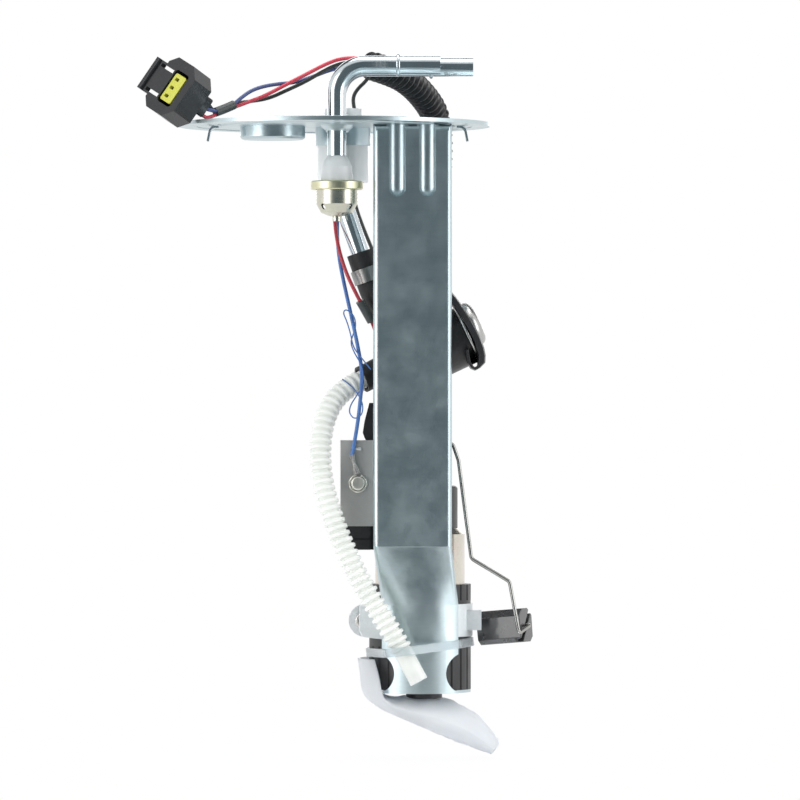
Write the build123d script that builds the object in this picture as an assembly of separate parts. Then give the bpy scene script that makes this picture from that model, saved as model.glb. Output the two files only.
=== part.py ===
from build123d import *
import math
import os

# Hanger-type in-tank fuel pump module, in millimetres. Origin: centre of the flange on the
# face that seats on the tank. +Z points up out of the tank, -Y is the side of the bracket web.

# Flange
FLANGE_RADIUS = 66.3
FLANGE_THICKNESS = 1.6
BEAD_RADIUS = 50.0
BEAD_ROUND = 4.2
BEAD_DEPTH = 1.6
SEAT_INNER_RADIUS = 58.5
SEAT_STEP = 0.3
BLANK_CUP_X = -26.1
BLANK_CUP_Y = -2.0
BLANK_CUP_RADIUS = 13.8
BLANK_CUP_DEPTH = 5.6
CUP_WALL = 1.2
CUP_FILLET = 1.6
LOCATING_TAB_MIDDLE_X = 1.5
LOCATING_TAB_REACH = 54.0
LOCATING_TAB_LEAN = 1.2
LOCATING_TAB_WIDTH = 9.0
LOCATING_TAB_THICKNESS = 0.9
LOCATING_TAB_DROP = 6.2
LOCATING_TAB_LENGTH = 3.4

# Fuel tubes
TUBE_RADIUS = 3.97
TUBE_WALL = 0.75
TUBE_X = 1.3
RETURN_Y = -16.5
SUPPLY_Y = 0.0
TUBE_AXIS_Z = 25.4
ELBOW_RADIUS = 12.0
RETURN_END_X = 45.0
SUPPLY_END_X = 59.1
BEAD_FROM_END = 17.8
TUBE_BEAD_RADIUS = 4.9
TUBE_BEAD_WIDTH = 1.6
TUBE_NECK_RADIUS = 7.0
TUBE_NECK_DEPTH = 2.4
BRAZE_GAP = 0.02
SUPPLY_LEAN = 18.9
SUPPLY_CORNER_Z = -25.0
SUPPLY_LEG = 44.0
SUPPLY_BEND_RADIUS = 24.0

# Return check valve under the return tube
DOME_TOP_Z = -12.9
DOME_RADIUS = 6.6
DOME_BORE = 2.6
DOME_SEAT_Z = -18.0
CHAMBER_RADIUS = 5.6
RING_RADIUS = 11.05
RING_TOP_Z = -23.6
RING_HEIGHT = 3.7
RING_WALL = 0.5
VALVE_FLANGE_GAP = 0.05
VALVE_CUP_RADIUS = 8.7
VALVE_CUP_WALL = 0.7
VALVE_CUP_STRAIGHT = 6.0
VALVE_CUP_ROUND = 5.0
NUB_RADIUS = 1.9
NUB_LENGTH = 2.3
POPPET_RADIUS = 4.6
POPPET_THICKNESS = 1.3
POPPET_TRAVEL = 2.5
STEM_RADIUS = 1.3
STEM_GAP = 0.08
SPRING_RADIUS = 3.4
SPRING_WIRE = 0.35
SPRING_TURNS = 5
VALVE_PORTS = 4
VALVE_PORT_RADIUS = 1.1

# Wire bulkhead
BULKHEAD_X = 3.6
BULKHEAD_Y = 16.0
BULKHEAD_RADIUS = 10.85
BULKHEAD_BOTTOM_Z = -23.1
BULKHEAD_WALL = 1.4
BULKHEAD_CEILING_Z = -6.0
CAP_RADIUS = 8.0
CAP_TOP_Z = 8.4
COLLAR_WALL = 0.8
COLLAR_DEPTH = 7.4
COLLAR_GAP = 0.12
SEAL_TOP_Z = -3.0
SEAL_HEIGHT = 1.8
SEAL_SECTION = 1.1

# Hanger bracket
SHEET = 1.2
CHANNEL_X = 33.3
CHANNEL_WIDTH = 33.2
CHANNEL_DEPTH = 9.0
CORNER_RADIUS = 2.4
CHANNEL_STRAIGHT = 178.0
CRADLE_TOP_Z = -202.8
CRADLE_HALF_ANGLE = 43.0
CRADLE_SIDE_ANGLE = 1.5
CRADLE_CORNER_ANGLE = 3.0
CRADLE_GAP = 0.1
SHELF_TOP_Z = -239.0
SHELF_INLET_RADIUS = 9.0
FOOT_DEPTH = 11.0
FOOT_BEND = 2.6
FOOT_SIDE_HEIGHT = 6.0
RELIEF = 0.3
SHELF_HALF_LEFT = 15.5
SHELF_BACK_Y = 12.0
GROOVE_SPACING = 12.75
GROOVE_RADIUS = 3.8
GROOVE_AXIS_DEPTH = 1.5
GROOVE_LENGTH = 26.8
SCALLOP_RADIUS = 8.9
SCALLOP_BITE = 5.2
SCALLOP_Z = -231.8

# Pump
PUMP_X = 36.5
PUMP_Y = 0.0
CAN_RADIUS = 19.0
CAN_WALL = 1.0
CAN_TOP_Z = -170.6
CAN_BOTTOM_Z = -237.6
CAN_SHOULDER = 2.5
END_CAP_RADIUS = 16.0
END_CAP_WALL = 2.5
END_CAP_TOP_Z = -152.6
NIPPLE_RADIUS = 4.0
NIPPLE_BORE = 2.4
OUTLET_TOP_Z = -138.6
TERMINAL_SPREAD = 6.0
TERMINAL_Y = 9.5
SHAFT_RADIUS = 2.0
BEARING_GAP = 0.05
ARMATURE_RADIUS = 12.5
MAGNET_GAP = 0.8
MAGNET_TOP_Z = -181.6
MAGNET_BOTTOM_Z = -219.6
MAGNET_ANGLE = 130.0
COMMUTATOR_RADIUS = 7.0
IMPELLER_RADIUS = 14.0
IMPELLER_HEIGHT = 3.0
IMPELLER_GAP = 0.4
IMPELLER_VANES = 16
INLET_CAP_TOP_Z = -226.6
INLET_X = 38.2
INLET_Y = -3.0
INLET_RADIUS = 5.0
INLET_WALL = 1.4
INLET_PASSAGE_RADIUS = 2.6
INLET_END_Z = -246.2
SLEEVE_RADIUS = 21.6
SLEEVE_TOP_Z = -194.4
SLEEVE_GAP = 0.05
SLEEVE_FLUTES = 24
FLUTE_RADIUS = 0.7

# Pump clamp
BAND_TOP_Z = -202.6
BAND_HEIGHT = 13.8
BAND_THICKNESS = 0.75
BAND_GAP = 0.05
EAR_Y = -13.8
EAR_X = 13.2
EAR_SCREW_X = 12.0
EAR_SPACE = 2.4
EAR_SCREW_RADIUS = 1.9
EAR_HEAD_RADIUS = 3.1
EAR_HEAD_HEIGHT = 2.0
EAR_NUT_RADIUS = 3.3
EAR_NUT_HEIGHT = 2.4
BUCKLE_Y = -10.0
BUCKLE_REACH_X = 62.5
BUCKLE_HEIGHT = 8.5
BUCKLE_DEPTH = 4.6

# Strap that ties the return hose to the cradle
TIE_Z = -221.1
TIE_WIDTH = 3.6
TIE_THICKNESS = 1.0
TIE_TILT = 6.0
TIE_GAP = 0.45
TIE_HOSE_LEFT_X = 26.6
TIE_HOSE_RIGHT_X = 29.6
TIE_HOSE_Y = -28.9

# Regulator behind the bracket
REGULATOR_X = 56.0
REGULATOR_Z = -88.6
REGULATOR_RISE = 25.0
REGULATOR_FLANGE_RADIUS = 14.0
REGULATOR_FLANGE_THICKNESS = 1.4
REGULATOR_CAN_RADIUS = 8.7
REGULATOR_CAN_LENGTH = 9.0
REGULATOR_BODY_RADIUS = 12.6
REGULATOR_BODY_LENGTH = 17.0
BLOCK_LEFT = 26.0
BLOCK_RIGHT = 46.0
BLOCK_HALF_DEPTH = 10.0
BLOCK_TOP_Z = -85.6
BLOCK_BOTTOM_Z = -105.6
BLOCK_ROUND = 2.0
PAD_GAP = 0.05
PORT_RADIUS = 4.0
PORT_BORE = 2.4
RETURN_PORT_RADIUS = 3.4
STRAP_HALF_LENGTH = 15.8
STRAP_HALF_DEPTH = 14.6
STRAP_THICKNESS = 1.4
STRAP_WIDTH = 3.8

# Hoses
FUEL_HOSE_RADIUS = 5.9
HOSE_FIT_GAP = 0.05
HOSE_CLAMP_WIDTH = 6.0
HOSE_CLAMP_THICKNESS = 0.7
RETURN_HOSE_RADIUS = 4.7
RETURN_HOSE_WALL = 1.0
ELBOW_SLEEVE_RADIUS = 5.8
ELBOW_REACH = 12.3
ELBOW_RUN = 5.2
HOSE_SOCKET_DEPTH = 3.6
PORT_LENGTH = 9.5
RETURN_PORT_Z = -99.5

# Level sender
PLATE_LEFT = 2.8
PLATE_RIGHT = 33.0
PLATE_TOP_Z = -133.2
PLATE_BOTTOM_Z = -169.6
PLATE_THICKNESS = 0.8
SENDER_LEFT = 5.0
SENDER_RIGHT = 17.0
SENDER_TOP_Z = -138.6
SENDER_BOTTOM_Z = -179.6
SENDER_FRONT_GAP = 2.7
SENDER_LINE = 0.8
SENDER_LINE_DROP = 5.0
SENDER_DEPTH = 6.4
SENDER_ARM_RIGHT = 30.0
SENDER_ARM_BOTTOM_Z = -151.0
TONGUE_RIGHT = 20.5
TONGUE_TOP_Z = -117.4
TONGUE_EDGE = [(15.0, -117.4), (13.0, -125.0), (12.2, -130.0), (13.0, -132.3), (14.0, -134.0)]
PIVOT_X = 23.0
PIVOT_Z = -145.1
PIVOT_GAP = 0.06
CARD_THICKNESS = 0.8
CARD_LEFT = 6.7
CARD_RIGHT = 18.2
CARD_TOP_Z = -140.3
CARD_BOTTOM_Z = -157.4
CARD_GAP = 0.15
CARD_STEP_X = 20.4
CARD_STEP_Z = -159.2
HUB_RADIUS = 4.5
HUB_THICKNESS = 1.8
WIPER_LENGTH = 12.0
WIPER_ANGLE = 165.0
SCREW_X = 10.2
SCREW_Z = -151.5
SCREW_RADIUS = 2.0
SCREW_HEAD_RADIUS = 3.0
WASHER_RADIUS = 3.7
ARM_WIRE_RADIUS = 0.8
ARM_PLATE_GAP = 0.55
FLOAT_RADIUS = 7.85
FLOAT_LENGTH = 20.4
FLOAT_TURN = 26.0
FLOAT_RISE = 5.0
FLOAT_X = 81.6
FLOAT_Y = -3.9
FLOAT_Z = -211.8
FLOAT_SLOT = 2.2

# Strainer
FITTING_RADIUS = 7.7
SOCK_HALF_WIDTH = 21.0

# Connector, in its own plane: x along its long side, y towards the latch, z out of its face
CONNECTOR_PLACE = (-68.2, -36.0, 15.2)
CONNECTOR_LONG = (0.555, 0.0, 0.832)
CONNECTOR_OUT = (-0.504, -0.788, 0.354)
CONNECTOR_HALF_LENGTH = 12.4
CONNECTOR_BACK_Y = -9.0
CONNECTOR_LATCH_Y = 8.85
CONNECTOR_DEPTH = 13.0
CONNECTOR_CHAMFER = 4.5
LATCH_HALF_LENGTH = 7.7
LATCH_END_Y = 15.1
LATCH_THICKNESS = 3.0
LATCH_SLOT_X = 5.9
LATCH_SLOT_WIDTH = 1.5
INSERT_HALF_LENGTH = 6.4
INSERT_HALF_WIDTH = 3.2
INSERT_Y = -1.1
CONNECTOR_TAIL_Z = -23.0
CAVITY_PITCH = 4.0
CAVITY_DEPTH = 6.0
POCKET_DEPTH = 9.0

# Wires
LEAD_RADIUS = 0.8
INNER_WIRE_RADIUS = 0.8
LOOM_RADIUS = 6.3
TAPE_RADIUS = 2.0
WIRE_SLEEVE_RADIUS = 1.9
PIGTAIL_RADIUS = 1.0
ARC_SHARE = 0.45
END_GAP = 0.05


def box(low_x, high_x, low_y, high_y, low_z, high_z):
    """A block between two corners."""
    centre = Pos((low_x + high_x) / 2, (low_y + high_y) / 2, (low_z + high_z) / 2)
    return centre * Box(high_x - low_x, high_y - low_y, high_z - low_z)


def disc(radius, low_z, high_z, x=0.0, y=0.0):
    """An upright cylinder between two heights."""
    return Pos(x, y, (low_z + high_z) / 2) * Cylinder(radius, high_z - low_z)


def ring(outer, inner, low_z, high_z, x=0.0, y=0.0):
    """An upright tube between two heights."""
    return disc(outer, low_z, high_z, x, y) - disc(inner, low_z - 1, high_z + 1, x, y)


def rod(start, end, radius):
    """A cylinder from one point to another."""
    axis = Vector(end) - Vector(start)
    plane = Plane(origin=start, z_dir=axis)
    return extrude(plane * Circle(radius), axis.length)


def turned(points, x=0.0, y=0.0):
    """Turns an outline of (radius, height) points about the upright axis at x, y."""
    outline = Plane.XZ * make_face(Polyline(*points, close=True))
    return Pos(x, y, 0) * revolve(outline, Axis.Z)


def toward(start, end, length):
    """The point at a length from start on the way to end."""
    step = (Vector(end) - Vector(start)).normalized()
    return Vector(start) + step * length


def corner_radii(points):
    """As large an arc at each corner as its two runs allow."""
    vectors = [Vector(*point) for point in points]
    radii = []
    for before, here, after in zip(vectors, vectors[1:], vectors[2:]):
        half_turn = math.radians((here - before).get_angle(after - here)) / 2
        shorter = min((here - before).length, (after - here).length)
        radii.append(ARC_SHARE * shorter / math.tan(half_turn))
    return radii


def tube(points, radius, bore=0.0, radii=None):
    """A round bar or pipe along straight runs joined by arcs."""
    if len(points) > 2:
        path = FilletPolyline(*points, radius=radii or corner_radii(points))
    else:
        path = Line(*points)
    plane = Plane(origin=path @ 0, z_dir=path % 0)
    bar = sweep(plane * Circle(radius), path=path)
    return bar - sweep(plane * Circle(bore), path=path) if bore else bar


def cord(name, points, radius):
    """A plain cord; prints its arcs and how its volume compares with section times length."""
    radii = corner_radii(points)
    solid = tube(points, radius, radii=radii)
    length = FilletPolyline(*points, radius=radii).length
    share = solid.volume / (math.pi * radius**2 * length)
    arcs = [round(radius, 1) for radius in radii]
    print(name, "length", round(length, 1), "volume share", round(share, 4), "radii", arcs)
    return solid


# Places that several pieces share
CRADLE_INNER = SLEEVE_RADIUS + BAND_GAP + BAND_THICKNESS + CRADLE_GAP
CRADLE_OUTER = CRADLE_INNER + SHEET
WEB_Y = PUMP_Y - CRADLE_OUTER
CHANNEL_LEFT = CHANNEL_X - CHANNEL_WIDTH / 2
CHANNEL_RIGHT = CHANNEL_X + CHANNEL_WIDTH / 2
CHANNEL_BACK = WEB_Y + CHANNEL_DEPTH
PLATE_FRONT = CHANNEL_BACK
PLATE_BACK = PLATE_FRONT + PLATE_THICKNESS
FLUTE_SPANS = [
    (SHELF_TOP_Z - 1.0, BAND_TOP_Z - BAND_HEIGHT - 4.2),
    (BAND_TOP_Z + 1.5, SLEEVE_TOP_Z + 1.0),
]
SENDER_FRONT = PLATE_BACK + SENDER_FRONT_GAP
SENDER_BACK = SENDER_FRONT + SENDER_DEPTH
ARM_Y = PLATE_BACK + ARM_PLATE_GAP + ARM_WIRE_RADIUS
RING_BOTTOM_Z = RING_TOP_Z - RING_HEIGHT
VALVE_JOINT_Z = RING_TOP_Z - RING_HEIGHT / 2
VALVE_FLOOR_Z = RING_BOTTOM_Z - VALVE_CUP_STRAIGHT - VALVE_CUP_ROUND
POPPET_TOP_Z = DOME_SEAT_Z - 0.1
POPPET_FOOT_Z = VALVE_FLOOR_Z + POPPET_TRAVEL + 0.5
SHAFT_TOP_Z = END_CAP_TOP_Z - 6.0
IMPELLER_TOP_Z = INLET_CAP_TOP_Z - 2.0 - IMPELLER_GAP
SHAFT_BOTTOM_Z = IMPELLER_TOP_Z - IMPELLER_HEIGHT - 2.5
LEAN = Vector(math.sin(math.radians(SUPPLY_LEAN)), 0, -math.cos(math.radians(SUPPLY_LEAN)))
SUPPLY_CORNER = Vector(TUBE_X, SUPPLY_Y, SUPPLY_CORNER_Z)
SUPPLY_FOOT = SUPPLY_CORNER + LEAN * SUPPLY_LEG
HOSE_START = SUPPLY_CORNER + LEAN * (SUPPLY_LEG - 14.0)
RISE = Vector(math.cos(math.radians(REGULATOR_RISE)), 0, math.sin(math.radians(REGULATOR_RISE)))
REGULATOR_SEAT = Vector(REGULATOR_X, PUMP_Y, REGULATOR_Z)
SUPPLY_HOSE_ROUTE = [
    tuple(HOSE_START),
    tuple(SUPPLY_FOOT + LEAN * 5.0),
    (21.2, SUPPLY_Y, -77.4),
    (25.9, SUPPLY_Y, -83.9),
]
RETURN_PORT_START = Vector(BLOCK_LEFT + 1.0, PUMP_Y, RETURN_PORT_Z)
RETURN_PORT_STEP = Vector(-0.88, 0, -0.475)
ELBOW_CORNER = RETURN_PORT_START + RETURN_PORT_STEP * ELBOW_REACH
RETURN_HOSE_ROUTE = [
    (5.6, -4.2, -110.6),
    (-1.6, -8.4, -117.8),
    (-5.2, -12.4, -128.6),
    (-6.0, -16.0, -141.4),
    (-4.4, -19.2, -153.3),
    (-0.2, -22.4, -166.6),
    (4.8, -25.2, -179.0),
    (10.4, -27.4, -190.8),
    (16.4, -28.6, -200.9),
    (23.0, -28.9, -211.5),
    (29.4, -28.9, -222.4),
    (36.0, -29.2, -234.7),
]


# Routes of the wires, chosen by hand
LEAD_RED_SHORT = [(-56.95, -18.33, 5.36), (-55.4, -16.2, 4.0), (-53.2, -14.2, 2.95), (-50.1, -10.85, 4.68)]
LEAD_BLUE_SHORT = [(-55.45, -18.33, 7.6), (-53.0, -15.9, 6.2), (-49.92, -11.85, 6.18)]
LEAD_BLACK_SHORT = [(-53.95, -18.33, 9.85), (-53.1, -14.9, 9.1), (-51.04, -10.44, 6.18)]
TAPE = [(-50.3, -11.0, 5.7), (-46.6, -8.1, 7.1), (-42.6, -5.0, 9.15)]
LEAD_RED = [
    (-42.25, -4.73, 8.2),
    (-36.2, -2.0, 10.6),
    (-29.3, 0.4, 13.3),
    (-19.3, 4.0, 18.9),
    (-11.2, 7.0, 23.2),
    (-4.4, 8.8, 26.9),
    (1.9, 9.8, 29.5),
    (8.1, 10.8, 30.0),
    (12.2, 12.0, 29.7),
    (15.9, 13.5, 28.9),
]
LEAD_BLUE = [
    (-42.15, -5.8, 9.7),
    (-37.6, -2.8, 14.0),
    (-32.2, 0.4, 16.8),
    (-24.6, 4.4, 18.5),
    (-17.0, 8.4, 19.2),
    (-9.6, 11.2, 21.8),
    (-1.6, 12.2, 25.0),
    (4.6, 12.8, 26.2),
    (9.8, 13.2, 26.4),
    (15.0, 13.7, 25.8),
]
LEAD_BLACK = [
    (-43.3, -4.0, 9.8),
    (-36.2, 1.0, 10.8),
    (-28.0, 3.8, 12.2),
    (-20.4, 6.0, 15.8),
    (-12.0, 8.0, 19.8),
    (-4.6, 9.8, 24.4),
    (1.2, 10.8, 27.2),
    (6.6, 10.4, 28.2),
    (10.8, 9.6, 28.4),
    (13.9, 8.8, 26.6),
    (15.3, 8.3, 23.2),
    (13.6, 8.6, 20.0),
    (10.4, 10.2, 17.2),
    (8.2, 12.4, 14.2),
    (7.9, 14.6, 10.8),
    (8.7, 15.8, 7.4),
]
LOOM = [
    (15.4, 13.6, 26.8),
    (24.6, 22.6, 24.6),
    (32.6, 33.6, 20.6),
    (39.2, 45.6, 14.2),
    (43.6, 56.2, 7.6),
    (45.0, 61.6, -3.0),
    (44.6, 62.4, -16.2),
    (43.0, 61.8, -30.0),
]
TAIL_RED = [(39.6, 49.2, 7.0), (34.4, 44.6, 4.5), (26.6, 37.6, 3.7), (17.0, 29.6, 3.3), (7.0, 21.8, 3.5)]
TAIL_BLUE = [(38.4, 45.8, 8.8), (34.6, 40.8, 5.0), (27.2, 32.8, 3.7), (19.0, 24.9, 3.3), (10.2, 18.4, 3.5)]
WIRE_RED = [
    (1.2, 18.6, -4.6),
    (1.0, 17.6, -18.0),
    (0.2, 13.0, -28.0),
    (0.0, 5.6, -38.8),
    (1.2, -2.6, -48.6),
    (3.6, -7.6, -58.0),
    (7.0, -9.4, -66.6),
    (11.0, -8.6, -74.2),
]
WIRE_RED_LOW = [
    (15.9, -6.0, -82.8),
    (19.0, 2.4, -90.2),
    (22.4, 11.0, -100.6),
    (26.0, 14.2, -115.6),
    (29.4, 12.0, -130.0),
    (30.5, 9.5, -141.5),
    (30.5, 9.5, -151.2),
]
WIRE_BLUE = [
    (4.6, 12.6, -4.6),
    (4.0, 12.4, -18.0),
    (2.4, 10.4, -29.6),
    (1.0, 6.8, -41.6),
    (1.8, 0.0, -54.6),
    (4.4, -5.6, -67.6),
    (7.6, -9.2, -81.6),
    (10.4, -11.0, -94.6),
    (12.2, -12.4, -105.6),
    (11.2, -14.0, -116.6),
    (9.8, -15.6, -128.6),
    (7.7, -15.9, -139.6),
]
WIRE_BLACK = [
    (8.9, 16.0, -4.6),
    (8.2, 15.2, -18.0),
    (8.0, 13.6, -30.6),
    (12.6, 13.0, -43.6),
    (18.6, 13.6, -57.6),
    (26.6, 14.6, -75.6),
    (35.0, 15.0, -95.6),
    (41.2, 14.0, -115.6),
    (42.6, 11.6, -131.0),
    (42.5, 9.5, -141.5),
    (42.5, 9.5, -151.2),
]
PIGTAIL_TOP = (7.6, -15.9, -139.9)
PIGTAIL_FOOT = (9.7, -15.9, -147.3)


def flange_plate():
    """Round pressed plate with a stiffening bead, a blank cup and necks for what passes through."""
    plate = disc(FLANGE_RADIUS, 0, FLANGE_THICKNESS)
    bump = Pos(0, 0, -BEAD_DEPTH) * Torus(BEAD_RADIUS, BEAD_ROUND)
    hollow = Pos(0, 0, -BEAD_DEPTH) * Torus(BEAD_RADIUS, BEAD_ROUND - FLANGE_THICKNESS)
    plate += bump & disc(FLANGE_RADIUS, 0, BEAD_ROUND)
    plate -= hollow & disc(FLANGE_RADIUS, 0, BEAD_ROUND)
    plate -= ring(SEAT_INNER_RADIUS, BEAD_RADIUS, -1, SEAT_STEP)
    cup = disc(BLANK_CUP_RADIUS, -BLANK_CUP_DEPTH, 0, BLANK_CUP_X, BLANK_CUP_Y)
    cup = fillet(cup.faces().sort_by(Axis.Z)[0].edges(), CUP_FILLET)
    floor = -BLANK_CUP_DEPTH + CUP_WALL
    well = disc(BLANK_CUP_RADIUS - CUP_WALL, floor, FLANGE_THICKNESS + 1, BLANK_CUP_X, BLANK_CUP_Y)
    well = fillet(well.faces().sort_by(Axis.Z)[0].edges(), CUP_FILLET - CUP_WALL)
    plate = plate + cup - well
    hole = TUBE_RADIUS + BRAZE_GAP
    for tube_y in (RETURN_Y, SUPPLY_Y):
        outline = [(0, 0), (TUBE_NECK_RADIUS, 0), (hole + 1.0, -1.6), (hole + 0.7, -TUBE_NECK_DEPTH)]
        neck = turned(outline + [(0, -TUBE_NECK_DEPTH)], TUBE_X, tube_y)
        plate = plate + neck - disc(hole, -TUBE_NECK_DEPTH - 1, FLANGE_THICKNESS + 1, TUBE_X, tube_y)
    bore = BULKHEAD_RADIUS + COLLAR_GAP
    plate += disc(bore + COLLAR_WALL, -COLLAR_DEPTH, 0, BULKHEAD_X, BULKHEAD_Y)
    plate -= disc(bore, -COLLAR_DEPTH - 1, 0, BULKHEAD_X, BULKHEAD_Y)
    plate -= disc(CAP_RADIUS + COLLAR_GAP, -1, FLANGE_THICKNESS + 1, BULKHEAD_X, BULKHEAD_Y)
    return plate


def locating_tabs():
    """Two bent tabs under the plate, inside its seat, that centre it in the tank opening."""
    inner = LOCATING_TAB_REACH - LOCATING_TAB_LENGTH
    level = SEAT_STEP - LOCATING_TAB_THICKNESS / 2
    profile = FilletPolyline(
        (inner, 0, level),
        (LOCATING_TAB_REACH, 0, level),
        (LOCATING_TAB_REACH + LOCATING_TAB_LEAN, 0, -LOCATING_TAB_DROP),
        radius=[2.4],
    )
    start = Plane(origin=profile @ 0, z_dir=profile % 0)
    tab = sweep(start * Rectangle(LOCATING_TAB_THICKNESS, LOCATING_TAB_WIDTH), path=profile)
    middle = Pos(LOCATING_TAB_MIDDLE_X, 0, 0)
    return Compound(children=[middle * tab, middle * mirror(tab, Plane.YZ)])


def beaded(end_x, tube_y):
    """The raised bead that a quick connector locks behind."""
    centre = end_x - BEAD_FROM_END
    bead = Cylinder(TUBE_BEAD_RADIUS, TUBE_BEAD_WIDTH)
    bead = fillet(bead.edges(), TUBE_BEAD_WIDTH * 0.4)
    bore = Cylinder(TUBE_RADIUS - TUBE_WALL / 2, TUBE_BEAD_WIDTH + 1)
    return Pos(centre, tube_y, TUBE_AXIS_Z) * Rot(0, 90, 0) * (bead - bore)


def return_tube():
    """Front tube: quick-connect end, elbow and riser down to the check valve."""
    corner = (TUBE_X, RETURN_Y, TUBE_AXIS_Z)
    route = [(RETURN_END_X, RETURN_Y, TUBE_AXIS_Z), corner, (TUBE_X, RETURN_Y, DOME_TOP_Z)]
    return tube(route, TUBE_RADIUS, TUBE_RADIUS - TUBE_WALL, [ELBOW_RADIUS]) + beaded(RETURN_END_X, RETURN_Y)


def supply_tube():
    """Rear tube: quick-connect end, elbow, riser and a leaning leg into the fuel hose."""
    route = [
        (SUPPLY_END_X, SUPPLY_Y, TUBE_AXIS_Z),
        (TUBE_X, SUPPLY_Y, TUBE_AXIS_Z),
        tuple(SUPPLY_CORNER),
        tuple(SUPPLY_FOOT),
    ]
    radii = [ELBOW_RADIUS, SUPPLY_BEND_RADIUS]
    return tube(route, TUBE_RADIUS, TUBE_RADIUS - TUBE_WALL, radii) + beaded(SUPPLY_END_X, SUPPLY_Y)


def valve_dome():
    """Moulded neck of the check valve, with the seat that the poppet closes."""
    lip = RING_RADIUS - RING_WALL - VALVE_FLANGE_GAP
    spigot = TUBE_RADIUS - TUBE_WALL - BRAZE_GAP
    top = RING_TOP_Z - RING_WALL
    outline = [
        (DOME_BORE, DOME_TOP_Z + 4.0),
        (spigot, DOME_TOP_Z + 4.0),
        (spigot, DOME_TOP_Z),
        (TUBE_RADIUS, DOME_TOP_Z),
        (DOME_RADIUS - 1.2, DOME_TOP_Z - 2.2),
        (DOME_RADIUS - 0.2, DOME_TOP_Z - 4.6),
        (DOME_RADIUS, RING_TOP_Z + 3.0),
        (DOME_RADIUS + 0.6, top),
        (lip, top),
        (lip, VALVE_JOINT_Z),
        (CHAMBER_RADIUS, VALVE_JOINT_Z),
        (CHAMBER_RADIUS, DOME_SEAT_Z),
        (DOME_BORE, DOME_SEAT_Z),
    ]
    return turned(outline, TUBE_X, RETURN_Y)


def valve_ring():
    """Ring crimped over the dome's lip and the cup's lip."""
    outline = [
        (DOME_RADIUS + 1.0, RING_TOP_Z),
        (RING_RADIUS - 0.4, RING_TOP_Z),
        (RING_RADIUS, RING_TOP_Z - 0.4),
        (RING_RADIUS, RING_BOTTOM_Z + 0.4),
        (RING_RADIUS - 0.4, RING_BOTTOM_Z),
        (VALVE_CUP_RADIUS + 0.3, RING_BOTTOM_Z),
        (VALVE_CUP_RADIUS + 0.3, RING_BOTTOM_Z + RING_WALL),
        (RING_RADIUS - RING_WALL, RING_BOTTOM_Z + RING_WALL),
        (RING_RADIUS - RING_WALL, RING_TOP_Z - RING_WALL),
        (DOME_RADIUS + 1.0, RING_TOP_Z - RING_WALL),
    ]
    return turned(outline, TUBE_X, RETURN_Y)


def valve_cup():
    """Pressed cup with ports in its rounded end and a guide for the poppet's stem."""
    lip = RING_RADIUS - RING_WALL - VALVE_FLANGE_GAP
    turn_z = RING_BOTTOM_Z - VALVE_CUP_STRAIGHT
    inner = VALVE_CUP_RADIUS - VALVE_CUP_WALL
    shoulder = VALVE_CUP_RADIUS - VALVE_CUP_ROUND
    outline = [
        (0, VALVE_FLOOR_Z - NUB_LENGTH),
        (NUB_RADIUS, VALVE_FLOOR_Z - NUB_LENGTH),
        (NUB_RADIUS, VALVE_FLOOR_Z - 0.4),
        (shoulder, VALVE_FLOOR_Z),
        (shoulder + VALVE_CUP_ROUND * 0.6, VALVE_FLOOR_Z + VALVE_CUP_ROUND * 0.25),
        (VALVE_CUP_RADIUS, turn_z),
        (VALVE_CUP_RADIUS, RING_BOTTOM_Z + RING_WALL),
        (lip, RING_BOTTOM_Z + RING_WALL),
        (lip, VALVE_JOINT_Z - VALVE_FLANGE_GAP),
        (inner, VALVE_JOINT_Z - VALVE_FLANGE_GAP),
        (inner, turn_z),
        (inner - 2.0, VALVE_FLOOR_Z + VALVE_CUP_ROUND * 0.45),
        (shoulder - 0.4, VALVE_FLOOR_Z + VALVE_CUP_WALL),
        (STEM_RADIUS + 1.0, VALVE_FLOOR_Z + VALVE_CUP_WALL),
        (STEM_RADIUS + 1.0, VALVE_FLOOR_Z + 4.5),
        (STEM_RADIUS + STEM_GAP, VALVE_FLOOR_Z + 4.5),
        (STEM_RADIUS + STEM_GAP, VALVE_FLOOR_Z),
        (0, VALVE_FLOOR_Z),
    ]
    cup = turned(outline, TUBE_X, RETURN_Y)
    for number in range(VALVE_PORTS):
        port = rod((0, 0, VALVE_FLOOR_Z), (12, 0, VALVE_FLOOR_Z + 2.0), VALVE_PORT_RADIUS)
        port = Rot(0, 0, 45 + number * 360 / VALVE_PORTS) * port
        cup -= Pos(TUBE_X, RETURN_Y, 2.4) * (port - disc(4.0, VALVE_FLOOR_Z - 5, VALVE_FLOOR_Z + 8))
    return cup


def valve_poppet():
    """Disc that closes on the dome's seat, on a guided stem."""
    head = disc(POPPET_RADIUS, POPPET_TOP_Z - POPPET_THICKNESS, POPPET_TOP_Z, TUBE_X, RETURN_Y)
    return head + disc(STEM_RADIUS, POPPET_FOOT_Z, POPPET_TOP_Z, TUBE_X, RETURN_Y)


def valve_spring():
    """Closing spring, from the cup's floor to the poppet's head."""
    low = VALVE_FLOOR_Z + VALVE_CUP_WALL + SPRING_WIRE + 0.05
    high = POPPET_TOP_Z - POPPET_THICKNESS - SPRING_WIRE - 0.05
    path = Helix((high - low) / SPRING_TURNS, high - low, SPRING_RADIUS, center=(TUBE_X, RETURN_Y, low))
    return sweep(Plane(origin=path @ 0, z_dir=path % 0) * Circle(SPRING_WIRE), path=path, is_frenet=True)


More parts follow.
